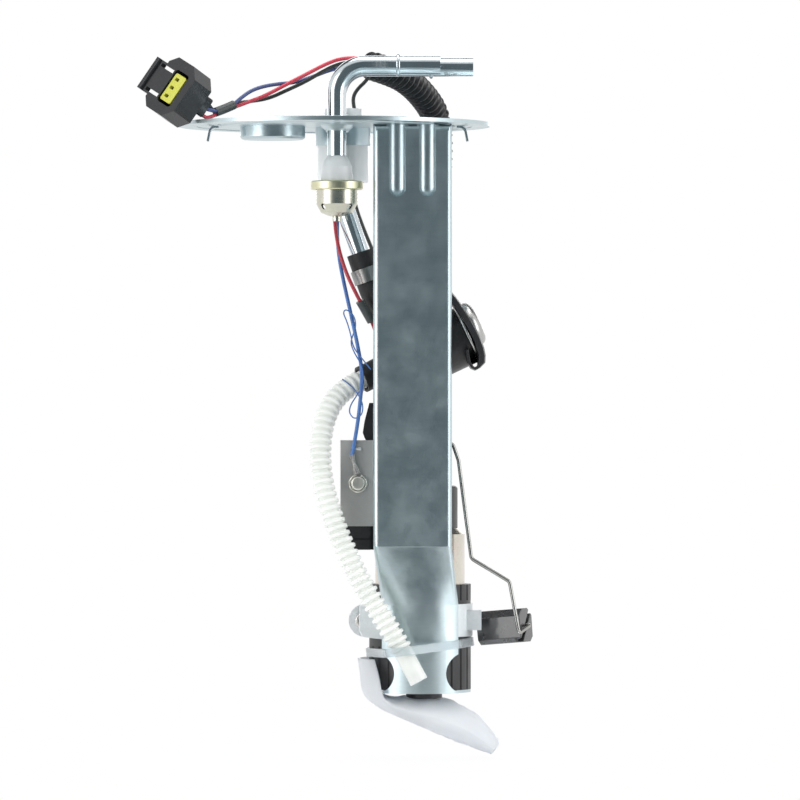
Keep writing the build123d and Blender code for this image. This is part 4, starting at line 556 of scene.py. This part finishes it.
rubber = moulded("rubber", (0.010, 0.010, 0.011), (0.026, 0.026, 0.028), 0.55, 1100.0, 0.00006)
sleeve_rubber = moulded("sleeve_rubber", (0.022, 0.022, 0.023), (0.050, 0.050, 0.052), 0.42, 800.0, 0.00005)
float_foam = moulded("float_foam", (0.020, 0.020, 0.021), (0.045, 0.045, 0.046), 0.27, 1600.0, 0.00003)
float_foam.put("Specular IOR Level", 0.9)
float_foam.put("Coat Weight", 0.7)
ceramic = moulded("ceramic", (0.55, 0.54, 0.50), (0.72, 0.71, 0.67), 0.5)
natural = milky("natural", (0.70, 0.73, 0.73), (0.84, 0.87, 0.87), 0.3, 0.55)
hose_white = milky("hose_white", (0.74, 0.755, 0.71), (0.84, 0.85, 0.815), 0.34, 0.5)
strap_clear = milky("strap_clear", (0.80, 0.88, 0.91), (0.90, 0.95, 0.97), 0.22, 0.1, 0.8)
red_wire = insulation("red_wire", (0.60, 0.045, 0.075), (0.72, 0.08, 0.12))
dark_red_wire = insulation("dark_red_wire", (0.36, 0.03, 0.045), (0.50, 0.05, 0.075))
blue_wire = insulation("blue_wire", (0.040, 0.120, 0.36), (0.085, 0.21, 0.50), 0.30)
navy_wire = insulation("navy_wire", (0.045, 0.07, 0.20), (0.08, 0.12, 0.30))
black_wire = insulation("black_wire", (0.030, 0.034, 0.032), (0.060, 0.066, 0.062), 0.36)
loom_black = moulded("loom_black", (0.012, 0.012, 0.013), (0.026, 0.026, 0.028), 0.24)
tape_black = moulded("tape_black", (0.045, 0.052, 0.052), (0.085, 0.095, 0.095), 0.4, 600.0, 0.00006)
mesh_white = moulded("mesh_white", (0.88, 0.92, 0.98), (0.95, 0.97, 1.0), 0.62, 900.0, 0.00004)
weave = mesh_white.maths("MULTIPLY", mesh_white.wave(WEAVE, "X"), mesh_white.wave(WEAVE, "Y"))
mesh_white.link(mesh_white.bump(weave, 0.00012, 0.6), mesh_white.shader.inputs["Normal"])
mesh_white.put("Transmission Weight", 0.35)
mesh_white.put("Subsurface Weight", 0.5)
mesh_white.put("Subsurface Radius", (0.006, 0.006, 0.007))
mesh_white.put("Subsurface Scale", 1.0)
mesh_white.put("Sheen Weight", 0.3)

# The CAD nodes that are shown as they are
LOOKS = {
    "flange_plate": zinc,
    "locating_tabs": zinc,
    "return_tube": zinc_tube,
    "supply_tube": supply_zinc,
    "valve_dome": natural,
    "valve_ring": yellow_zinc,
    "valve_cup": cup_metal,
    "valve_poppet": black_plastic,
    "bulkhead_body": natural,
    "bulkhead_seal": rubber,
    "hanger_bracket": zinc,
    "pump_can": pump_zinc,
    "pump_end_cap": black_plastic,
    "pump_inlet_cap": black_plastic,
    "magnets": magnet,
    "armature_shaft": wire_steel,
    "armature": iron,
    "commutator": copper,
    "brushes": magnet,
    "impeller": black_plastic,
    "pump_sleeve": sleeve_rubber,
    "clamp_band": band_metal,
    "ear_screw": stainless,
    "ear_nut": zinc,
    "zip_tie": strap_clear,
    "regulator_housing": black_plastic,
    "supply_hose": rubber,
    "outlet_hose": rubber,
    "hose_clamps": clamp_metal,
    "elbow_sleeve": rubber,
    "sender_plate": stainless,
    "sender_body": black_plastic,
    "resistor_card": ceramic,
    "float_arm": wire_steel,
    "arm_hub": black_plastic,
    "wiper": copper,
    "sender_screw": screw_metal,
    "screw_washer": stainless,
    "strainer_fitting": black_plastic,
    "connector_housing": grey_plastic,
    "connector_insert": yellow_plastic,
    "connector_terminals": copper,
    "wire_sleeve": tape_black,
}
for node, look in LOOKS.items():
    dress(node, look)


# Free cords of the harness, with radii in millimetres and lengths in metres
WIRE = 0.8


def free_cord(name, points, radius, look, node=None):
    """A loose cord that starts at its first point."""
    piece = nurbs(name, points, radius)
    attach(piece, "module")
    if node is not None:
        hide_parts(node)
    dress(piece, look)
    reach = length_of(centreline(piece))


for name, points, look, slot in (
    ("short_red", LEAD_RED_SHORT, red_wire, "wire_red"),
    ("short_blue", LEAD_BLUE_SHORT, navy_wire, "wire_blue"),
    ("short_black", LEAD_BLACK_SHORT, black_wire, "wire_black"),
):
    free_cord(name, points, WIRE, look)


# Loom: a split corrugated tube whose ribs wind round it
LOOM_STEP = 0.0003
LOOM_RADIUS = 6.3 * MM
LOOM_BORE = 4.2 * MM
LOOM_PITCH = 3.3 * MM
LOOM_GROOVE = 1.7 * MM
loom_line = guide_line(LOOM, LOOM_STEP)
loom_spacing = length_of(loom_line[:2])


def loom_radius(number, angle):
    turn = (loom_spacing * number / LOOM_PITCH + angle / FULL_TURN) % 1.0
    wave = 0.5 + 0.5 * math.cos(FULL_TURN * turn)
    return LOOM_RADIUS - LOOM_GROOVE * (1 - wave**0.8)


loom = swept("loom_tube", loom_line, loom_radius, 40, inner=LOOM_BORE)
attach(loom, "module")
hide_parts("loom")
dress(loom, loom_black)

TAPE_RADIUS = 2.0
free_cord("tape", TAPE, TAPE_RADIUS, tape_black, "tape_sleeve")
RED_CARRIES = ["connector_housing", "connector_insert", "connector_terminals", "short_red", "tape"]
for name, points, look, slot, far_end, node, with_pieces in (
    ("lead_line_red", LEAD_RED, red_wire, "wire_red", "connector", "lead_red", RED_CARRIES),
    ("lead_line_blue", LEAD_BLUE, navy_wire, "wire_blue", "connector", "lead_blue", ["short_blue"]),
    ("lead_line_black", LEAD_BLACK, black_wire, "wire_black", "connector", "lead_black", ["short_black"]),
    ("tail_line_red", TAIL_RED, red_wire, "wire_red", "object", "tail_red", ()),
    ("tail_line_blue", TAIL_BLUE, navy_wire, "wire_blue", "object", "tail_blue", ()),
):
    free_cord(name, points[::-1], WIRE, look, node)


# Fixed wires inside
def fixed_wire(name, stretches, look, node):
    for number, points in enumerate(stretches):
        piece = nurbs(f"{name}_{number}", points, WIRE)
        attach(piece, "module")
        dress(piece, look)
        if number == 0:
            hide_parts(node)


fixed_wire("inner_red", [WIRE_RED, WIRE_RED_LOW], dark_red_wire, "wire_red")
fixed_wire("inner_blue", [WIRE_BLUE], blue_wire, "wire_blue")
fixed_wire("inner_black", [WIRE_BLACK], black_wire, "wire_black")


# Return hose: rings between a short collar at its start and a long smooth cuff at its end
HOSE_STEP = 0.0002
HOSE_RADIUS = 4.7 * MM
HOSE_BORE = 3.1 * MM
HOSE_PITCH = 3.0 * MM
HOSE_GROOVE = 1.15 * MM
COLLAR = 0.004
CUFF = 15.0 * MM
CUFF_STEP = 0.75 * MM
RIDGE_EDGE = 7.0
RIDGE_SHIFT = 0.12
hose_line = guide_line(RETURN_HOSE, HOSE_STEP)
hose_spacing = length_of(hose_line[:2])
hose_length = length_of(hose_line)


def hose_radius(number, angle):
    along = hose_spacing * number
    if along > hose_length - CUFF or along < COLLAR:
        return HOSE_RADIUS - CUFF_STEP
    turn = (along / HOSE_PITCH) % 1.0
    ridge = 1.0 / (1.0 + math.exp(-(math.cos(FULL_TURN * turn) + RIDGE_SHIFT) * RIDGE_EDGE))
    return HOSE_RADIUS - HOSE_GROOVE * (1 - ridge)


hose = swept("hose_corrugated", hose_line, hose_radius, 40, inner=HOSE_BORE)
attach(hose, "module")
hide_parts("return_hose")
dress(hose, hose_white)


# Strainer sock: a woven bag with a welded seam round its edge
def smooth_line(stations, value):
    """Values at this place of a Hermite curve through the stations, each a place and its values."""
    index = 0
    while index < len(stations) - 2 and stations[index + 1][0] < value:
        index += 1
    (low, first), (high, second) = stations[index], stations[index + 1]
    place_before, before = stations[max(index - 1, 0)]
    place_after, after = stations[min(index + 2, len(stations) - 1)]
    share = (value - low) / (high - low)
    rest = 1 - share
    out = []
    for a, b, c, d in zip(before, first, second, after):
        leave = (c - a) / (high - place_before) * (high - low)
        arrive = (d - b) / (place_after - low) * (high - low)
        line = b * (1 + 2 * share) * rest**2 + c * (3 - 2 * share) * share**2
        out.append(line + leave * share * rest**2 - arrive * rest * share**2)
    return tuple(out)


# Share of the length; then x, z, half width, half thickness and the edges' shift along x, in mm
SOCK_STATIONS = [
    (0.00, (10.6, -226.0, 15.0, 0.4, 6.5)),
    (0.10, (11.9, -232.6, 20.0, 0.7, 7.0)),
    (0.22, (14.0, -240.2, 21.0, 1.5, 6.5)),
    (0.34, (20.6, -244.6, 21.0, 2.6, 3.0)),
    (0.48, (30.4, -247.4, 21.0, 4.2, 0.8)),
    (0.64, (43.5, -250.4, 21.0, 6.8, 0.0)),
    (0.80, (56.2, -255.6, 20.6, 6.8, 0.0)),
    (0.93, (64.6, -261.2, 19.0, 4.4, 0.0)),
    (1.00, (68.4, -263.9, 16.5, 3.0, 0.0)),
]
SOCK_ALONG, SOCK_ACROSS = 72, 40
SEAM_HALF = 0.22
RIPPLE_SHARE = 0.10
CREASE_HEIGHT = 0.25
# Gathers of the cloth under the shelf: x, width and height; and how far they reach front and back
GATHERS = [(29.4, 2.6, 0.8), (47.0, 2.4, 0.8), (38.0, 10.0, 0.9)]
GATHER_REACH = 12


def sock_rise(x, across, thick, swell, face_side):
    """How far this side of the cloth stands off the sock's middle sheet."""
    ripple = noise.noise(Vector((x * 0.13, across * 0.11, 3.0 * face_side)))
    fine = noise.noise(Vector((x * 0.34, across * 0.30, 9.0 * face_side)))
    bulge = thick * swell * (1 + RIPPLE_SHARE * ripple)
    rise = face_side * (bulge + SEAM_HALF + CREASE_HEIGHT * fine * swell)
    if face_side > 0:
        gather = sum(high * math.exp(-(((x - middle) / wide) ** 2)) for middle, wide, high in GATHERS)
        rise += gather * math.exp(-((across / GATHER_REACH) ** 2))
    return rise


def sock():
    middle = [smooth_line(SOCK_STATIONS, number / SOCK_ALONG) for number in range(SOCK_ALONG + 1)]
    verts = []
    faces = []
    for face_side in (1, -1):
        for number, (x, z, half, thick, wrap) in enumerate(middle):
            before = middle[max(number - 1, 0)]
            after = middle[min(number + 1, SOCK_ALONG)]
            direction = Vector((after[0] - before[0], 0, after[1] - before[1])).normalized()
            up = Vector((-direction.z, 0, direction.x))
            for step in range(SOCK_ACROSS + 1):
                v = -1 + 2 * step / SOCK_ACROSS
                swell = max(0.0, 1 - abs(v) ** 3.2) ** 0.7
                point = Vector((x + wrap * abs(v) ** 2.5, half * v, z))
                verts.append((point + up * sock_rise(x, half * v, thick, swell, face_side)) * MM)
    row = SOCK_ACROSS + 1
    count = (SOCK_ALONG + 1) * row
    for number in range(SOCK_ALONG):
        for step in range(SOCK_ACROSS):
            a = number * row + step
            faces.append((a, a + row, a + row + 1, a + 1))
            b = count + a
            faces.append((b, b + 1, b + row + 1, b + row))
    for number in range(SOCK_ALONG):
        for step in (0, SOCK_ACROSS):
            a = number * row + step
            quad = (a, count + a, count + a + row, a + row)
            faces.append(quad if step == 0 else quad[::-1])
    for number in (0, SOCK_ALONG):
        for step in range(SOCK_ACROSS):
            a = number * row + step
            quad = (a, a + 1, count + a + 1, count + a)
            faces.append(quad if number == 0 else quad[::-1])
    return mesh_piece("sock_bag", verts, faces)


bag = sock()
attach(bag, "module")
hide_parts("strainer_sock")
dress(bag, mesh_white)


# Pigtail: bare strands twisted down to the washer, and their ring under the screw's head
STRAND_COUNT = 9
STRAND_STEPS = 24
STRAND_AROUND = 8
STRAND_RADIUS = 0.2 * MM
TWIST_RADIUS = 0.95 * MM
TWIST_TURNS = 0.8


def strands(name, start, end):
    """Strands that wind round the line from start to end, spread at its ends and drawn in between."""
    axis = end - start
    side = axis.orthogonal().normalized()
    up = axis.normalized().cross(side)
    verts = []
    faces = []
    for number in range(STRAND_COUNT):
        points = []
        for step in range(STRAND_STEPS + 1):
            share = step / STRAND_STEPS
            wide = TWIST_RADIUS * (0.45 + 0.75 * abs(math.cos(math.pi * share * 0.9 + 0.4)))
            angle = FULL_TURN * number / STRAND_COUNT + FULL_TURN * TWIST_TURNS * share
            offset = side * math.cos(angle) * wide + up * math.sin(angle) * wide
            points.append(start + axis * share + offset)
        base = len(verts)
        for point, (s, u) in zip(points, frames_along(points)):
            for k in range(STRAND_AROUND):
                a = FULL_TURN * k / STRAND_AROUND
                verts.append(point + (s * math.cos(a) + u * math.sin(a)) * STRAND_RADIUS)
        last = base + STRAND_STEPS * STRAND_AROUND
        for ring in range(base, last, STRAND_AROUND):
            for k in range(STRAND_AROUND):
                a = ring + k
                b = ring + (k + 1) % STRAND_AROUND
                faces.append((a, b, b + STRAND_AROUND, a + STRAND_AROUND))
        faces.append(tuple(base + k for k in range(STRAND_AROUND))[::-1])
        faces.append(tuple(last + k for k in range(STRAND_AROUND)))
    return mesh_piece(name, verts, faces)


pigtail = strands("bare_strands", Vector((7.6, -15.9, -139.4)) * MM, Vector((9.9, -15.9, -147.6)) * MM)
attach(pigtail, "module")
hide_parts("pigtail")
dress(pigtail, can_metal)

SCREW_X, RING_Y, SCREW_Z = 10.2, -15.85, -151.5
RING_RADIUS = 3.5
RING_START, RING_SWEEP, RING_STEPS = 100, 330, 48
RING_THICK, RING_TWIST = 0.42, 0.10
ring_line = []
for step in range(RING_STEPS + 1):
    angle = math.radians(RING_START + RING_SWEEP * step / RING_STEPS)
    ring_x = SCREW_X + RING_RADIUS * math.cos(angle)
    ring_line.append(Vector((ring_x, RING_Y, SCREW_Z + RING_RADIUS * math.sin(angle))) * MM)


def ring_radius(number, angle):
    return (RING_THICK + RING_TWIST * math.cos(3 * angle + 0.8 * number)) * MM


strand_ring = swept("strand_ring", ring_line, ring_radius, 16)
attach(strand_ring, "module")
dress(strand_ring, screw_metal)


# Float: a prism with cut corners and a slot across its open end
FLOAT_FACE = Vector((81.6, -3.9, -211.8))
FLOAT_ALONG = Vector((-0.8954, 0.4367, -0.0872)).normalized()
FLOAT_UP = (Vector((0, 0, 1)) - FLOAT_ALONG * FLOAT_ALONG.z).normalized()
FLOAT_SIDE = FLOAT_ALONG.cross(FLOAT_UP)
FLOAT_LENGTH = 20.4
FLOAT_OUTLINE = [
    (7.3, 2.4), (4.2, 6.3), (-5.0, 6.0), (-7.1, 3.4), (-7.1, -3.4), (-5.0, -6.0), (4.2, -6.3), (7.3, -2.4)
]
SLOT_TILT = math.radians(38)
SLOT_HALF_LENGTH, SLOT_HALF_WIDTH = 11, 1.1
SLOT_OUTSIDE, SLOT_DEPTH = -2.0, 3.0


def float_ring(along):
    centre = FLOAT_FACE + FLOAT_ALONG * along
    return [centre + FLOAT_UP * up - FLOAT_SIDE * near for up, near in FLOAT_OUTLINE]


slotted_float = lofted("slotted_float", [float_ring(0.0), float_ring(FLOAT_LENGTH)])
cut_long = FLOAT_UP * math.cos(SLOT_TILT) + FLOAT_SIDE * math.sin(SLOT_TILT)
cut_thin = FLOAT_ALONG.cross(cut_long)
cut_corners = [
    cut_long * (SLOT_HALF_LENGTH * a) + cut_thin * (SLOT_HALF_WIDTH * b)
    for a, b in ((-1, -1), (1, -1), (1, 1), (-1, 1))
]
cut_rings = [
    [FLOAT_FACE + FLOAT_ALONG * depth + corner for corner in cut_corners]
    for depth in (SLOT_OUTSIDE, SLOT_DEPTH)
]
cutter = lofted("cutter", cut_rings)
cut = slotted_float.modifiers.new("slot", "BOOLEAN")
cut.operation = "DIFFERENCE"
cut.object = cutter
bpy.context.view_layer.update()
solid = bpy.data.meshes.new_from_object(slotted_float.evaluated_get(bpy.context.evaluated_depsgraph_get()))
slotted_float.modifiers.clear()
slotted_float.data = solid
bpy.data.objects.remove(cutter)
for polygon in solid.polygons:
    polygon.use_smooth = False
rounded(slotted_float, 0.6)
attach(slotted_float, "float_arm")
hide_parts("float")
dress(slotted_float, float_foam)


# Regulator: crimped flange with its dome, held by a bent strap
SEAT = Vector((56.0, 0.0, -88.6))
OUTWARD = Vector((0.9063, 0.0, 0.4226))
UPWARD = Vector((-0.4226, 0.0, 0.9063))
SEAT_Y = -3.0
DOME_AROUND = 64


def turned_ring(along, raised, radius):
    """A circle across the regulator's axis: this far out of its seat and raised above its middle."""
    centre = SEAT + OUTWARD * along + UPWARD * raised + Vector((0, SEAT_Y, 0))
    ring = []
    for step in range(DOME_AROUND):
        angle = FULL_TURN * step / DOME_AROUND
        ring.append(centre + (UPWARD * math.cos(angle) + Vector((0, 1, 0)) * math.sin(angle)) * radius)
    return ring


DOME = [
    (0.1, 0.0, 12.6), (0.1, 0.0, 13.3), (0.3, 0.0, 13.6), (1.1, 0.0, 13.6), (1.3, 0.0, 13.3),
    (1.4, 3.0, 10.2), (1.8, 3.2, 9.9), (4.6, 3.2, 9.8), (5.8, 3.2, 9.4), (6.8, 3.2, 8.4),
    (7.4, 3.2, 7.0), (7.6, 3.2, 5.2), (7.6, 3.2, 2.6), (7.6, 3.2, 0.6),
]
dome = lofted("regulator_dome", [turned_ring(*place) for place in DOME])
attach(dome, "module")
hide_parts("regulator_can")
dress(dome, can_metal)

# The strap's middle line in x and z, and its eight-cornered section as shares of half its sizes
STRAP_LINE = [
    (47.6, -70.4), (50.2, -73.4), (52.5, -76.6), (54.6, -79.8),
    (56.8, -83.4), (58.9, -87.2), (60.7, -90.9),
    (62.0, -94.4), (62.6, -97.4), (62.5, -100.0), (61.4, -102.1),
    (59.9, -103.0), (58.5, -102.4), (57.4, -100.4),
    (56.8, -97.8), (56.5, -94.9),
]
STRAP_SECTION = [(-1, -0.8), (-0.7, -1), (0.7, -1), (1, -0.8), (1, 0.8), (0.7, 1), (-0.7, 1), (-1, 0.8)]
STRAP_WIDE, STRAP_DEEP = 3.4, 28.4
TONGUE_POINTS = 6
TONGUE_SHARE = 0.45


def strap_rings():
    rings = []
    for number, (x, z) in enumerate(STRAP_LINE):
        before = STRAP_LINE[max(number - 1, 0)]
        after = STRAP_LINE[min(number + 1, len(STRAP_LINE) - 1)]
        run = Vector((after[0] - before[0], 0, after[1] - before[1])).normalized()
        across = Vector((-run.z, 0, run.x))
        wide = STRAP_WIDE if number < len(STRAP_LINE) - TONGUE_POINTS else STRAP_WIDE * TONGUE_SHARE
        middle = Vector((x, SEAT_Y, z))
        ring = []
        for side, reach in STRAP_SECTION:
            ring.append(middle + across * (side * wide / 2) + Vector((0, reach * STRAP_DEEP / 2, 0)))
        rings.append(ring)
    return rings


bent_strap = lofted("regulator_band", strap_rings(), bevel=0.3)
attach(bent_strap, "module")
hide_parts("regulator_strap")
dress(bent_strap, black_plastic)


# Flat lug of the bracket in front of the band's ears, and the tab at the sender plate's top
def small_plate(name, outline, front, back, look):
    """A plate with this outline in x and z, between these two places in y."""
    rings = [[Vector((x, y, z)) for x, z in outline] for y in (front, back)]
    piece = lofted(name, rings, bevel=0.25)
    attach(piece, "module")
    dress(piece, look)


LUG = [(21.2, -217.4), (21.2, -201.2), (12.4, -201.6), (10.9, -203.4), (10.7, -213.8), (12.2, -216.4)]
small_plate("bracket_lug", LUG, -17.9, -17.0, band_metal)
TAB = [(11.6, -137.5), (11.6, -136.2), (9.0, -136.4), (9.0, -137.3)]
small_plate("plate_tab", TAB, -15.5, -14.7, band_metal)


# The check valve's spring, coiled over the CAD spring's height; the real spring shortens as the poppet opens
SPRING_TURNS = 5
TURN_STEPS = 24
SPRING_RADIUS = 3.4 * MM
SPRING_WIRE = 0.35 * MM
spring_low, spring_high = (Vector(corner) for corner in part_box("valve_spring"))
spring_middle = (spring_low + spring_high) / 2
spring_rise = spring_high.z - spring_low.z - 2 * SPRING_WIRE
coil_line = []
for step in range(SPRING_TURNS * TURN_STEPS + 1):
    angle = FULL_TURN * step / TURN_STEPS
    coil_x = spring_middle.x + SPRING_RADIUS * math.cos(angle)
    coil_y = spring_middle.y + SPRING_RADIUS * math.sin(angle)
    coil_z = spring_low.z + SPRING_WIRE + spring_rise * step / (SPRING_TURNS * TURN_STEPS)
    coil_line.append(Vector((coil_x, coil_y, coil_z)))
coil = swept("closing_spring", coil_line, lambda number, angle: SPRING_WIRE, 12)
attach(coil, "module")
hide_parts("valve_spring")
dress(coil, wire_steel)
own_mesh(coil)


# Thin blue thread wound round the blue wire
THREAD = [
    (15.6, -15.2, -103.2),
    (11.4, -14.4, -98.0),
    (8.2, -11.6, -94.0),
    (7.0, -8.2, -88.0),
    (5.4, -10.6, -82.6),
    (3.8, -12.6, -79.2),
    (5.2, -13.2, -77.6),
    (8.6, -12.4, -80.4),
    (9.4, -10.0, -85.0),
    (8.0, -8.4, -88.6),
    (7.0, -10.4, -92.0),
    (8.6, -13.2, -96.2),
    (11.6, -14.2, -101.0),
    (12.6, -14.6, -106.4),
    (11.6, -12.0, -111.6),
    (9.2, -11.0, -115.0),
    (7.0, -12.6, -118.4),
    (6.4, -15.0, -121.6),
    (8.6, -16.6, -124.4),
    (12.0, -16.4, -122.6),
    (12.4, -15.0, -118.0),
    (10.2, -12.4, -113.6),
    (7.4, -11.8, -110.0),
    (3.6, -13.4, -107.4),
]
THREAD_RADIUS = 0.28
thread = nurbs("tie_thread", THREAD, THREAD_RADIUS)
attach(thread, "module")
dress(thread, blue_wire)


# Stage: a floor that looks white and shows a faint shadow near the part
FLOOR_Z = -0.2685
FLOOR_FRONT = -0.30
FLOOR_REACH = 4
FLOOR_TONE = (0.86, 0.87, 0.88)
SHADOW_SHARE = 0.25
SHADOW_FADES, SHADOW_ENDS = 0.16, 0.29


def floor_material():
    """White to the camera, in reflections and through clear things, apart from the shadow's share."""
    n = Nodes("floor_look")
    tint = n.ramp(n.noise(3.0, 2.0), [(0.3, tuple(c * 0.985 for c in FLOOR_TONE)), (0.7, FLOOR_TONE)])
    n.link(tint, n.shader.inputs["Base Color"])
    n.put("Roughness", 0.9)
    glow = n.tree.nodes.new("ShaderNodeEmission")
    glow.inputs[0].default_value = (1.0, 1.0, 1.0, 1.0)
    glow.inputs[1].default_value = 1.0
    ray = n.tree.nodes.new("ShaderNodeLightPath")
    seen = n.maths("MAXIMUM", ray.outputs["Is Camera Ray"], ray.outputs["Is Transmission Ray"])
    seen = n.maths("MAXIMUM", seen, ray.outputs["Is Glossy Ray"])
    far = n.tree.nodes.new("ShaderNodeVectorMath")
    far.operation = "LENGTH"
    n.link(n.place, far.inputs[0])
    kept = n.span(far.outputs["Value"], SHADOW_FADES, SHADOW_ENDS, SHADOW_SHARE, 0.0)
    share = n.maths("MULTIPLY", seen, n.maths("SUBTRACT", 1.0, kept))
    mixer = n.tree.nodes.new("ShaderNodeMixShader")
    n.link(share, mixer.inputs[0])
    n.link(n.shader.outputs[0], mixer.inputs[1])
    n.link(glow.outputs[0], mixer.inputs[2])
    n.link(mixer.outputs[0], n.out.inputs[0])
    return n


floor_corners = [
    (-FLOOR_REACH, FLOOR_FRONT, FLOOR_Z),
    (FLOOR_REACH, FLOOR_FRONT, FLOOR_Z),
    (FLOOR_REACH, FLOOR_REACH, FLOOR_Z),
    (-FLOOR_REACH, FLOOR_REACH, FLOOR_Z),
]
floor = mesh_piece("floor", floor_corners, [(0, 1, 2, 3)], smooth=False)
dress(floor, floor_material())

# The studio is white all round; metal also mirrors its dark front and a dark bank high behind
world = bpy.data.worlds.new("studio")
scene.world = world
world.use_nodes = True
tree = world.node_tree
tree.nodes.clear()


def world_node(kind, **settings):
    node = tree.nodes.new(kind)
    for key, value in settings.items():
        setattr(node, key, value)
    return node


def background(colour, strength):
    node = world_node("ShaderNodeBackground")
    node.inputs[0].default_value = (*colour, 1.0)
    node.inputs[1].default_value = strength
    return node


def eased(value, low, high):
    """From 0 where the value is low to 1 where it is high."""
    share = world_node("ShaderNodeMapRange", interpolation_type="SMOOTHSTEP")
    share.inputs["From Min"].default_value = low
    share.inputs["From Max"].default_value = high
    tree.links.new(value, share.inputs[0])
    return share.outputs[0]


def product(first, *others):
    for other in others:
        node = world_node("ShaderNodeMath", operation="MULTIPLY")
        tree.links.new(first, node.inputs[0])
        tree.links.new(other, node.inputs[1])
        first = node.outputs[0]
    return first


def chosen(factor, first, second):
    """The first shader where the factor is 0, the second where it is 1."""
    node = world_node("ShaderNodeMixShader")
    tree.links.new(factor, node.inputs[0])
    tree.links.new(first.outputs[0], node.inputs[1])
    tree.links.new(second.outputs[0], node.inputs[2])
    return node


generated = world_node("ShaderNodeTexCoord").outputs["Generated"]
heading = world_node("ShaderNodeSeparateXYZ")
tree.links.new(generated, heading.inputs[0])
front = product(
    eased(heading.outputs["Y"], 0.0, -0.25),
    eased(heading.outputs["X"], -0.60, -0.46),
    eased(heading.outputs["X"], 0.92, 0.58),
    eased(heading.outputs["Z"], 0.80, 0.58),
)
upward_back = world_node("ShaderNodeVectorMath", operation="DOT_PRODUCT")
tree.links.new(generated, upward_back.inputs[0])
upward_back.inputs[1].default_value = (0.0, 0.64, 0.77)
high_behind = eased(upward_back.outputs["Value"], 0.64, 0.80)
soft = background((0.96, 0.98, 1.0), 0.85)
white = background((1.0, 1.0, 1.0), 1.0)
dark = background((0.115, 0.145, 0.158), 1.0)
dim = background((0.06, 0.065, 0.07), 1.0)
ray = world_node("ShaderNodeLightPath")
mirrored = chosen(high_behind, chosen(front, white, dark), dim)
room = chosen(ray.outputs["Is Glossy Ray"], soft, mirrored)
past_glass = chosen(ray.outputs["Is Transmission Ray"], room, white)
seen_by_camera = chosen(ray.outputs["Is Camera Ray"], past_glass, white)
out = world_node("ShaderNodeOutputWorld")
tree.links.new(seen_by_camera.outputs[0], out.inputs[0])

CENTRE = Vector((0.03, 0.0, -0.12))


def softbox(name, place, width, height, power):
    """A lamp of this size in metres and power in watts that faces the part."""
    light = bpy.data.lights.new(name, "AREA")
    light.shape = "RECTANGLE"
    light.size = width
    light.size_y = height
    light.energy = power
    lamp = bpy.data.objects.new(name, light)
    scene.collection.objects.link(lamp)
    lamp.location = place
    lamp.rotation_euler = (CENTRE - Vector(place)).to_track_quat("-Z", "Y").to_euler()


softbox("left_box", (-1.3, -0.9, 0.15), 0.9, 1.5, 9.5)
softbox("right_box", (1.35, -0.7, 0.1), 0.8, 1.5, 8.0)
softbox("top_box", (0.1, 0.1, 1.5), 1.4, 1.0, 14.0)
softbox("back_box", (0.0, 1.6, 0.5), 1.5, 1.0, 9.0)
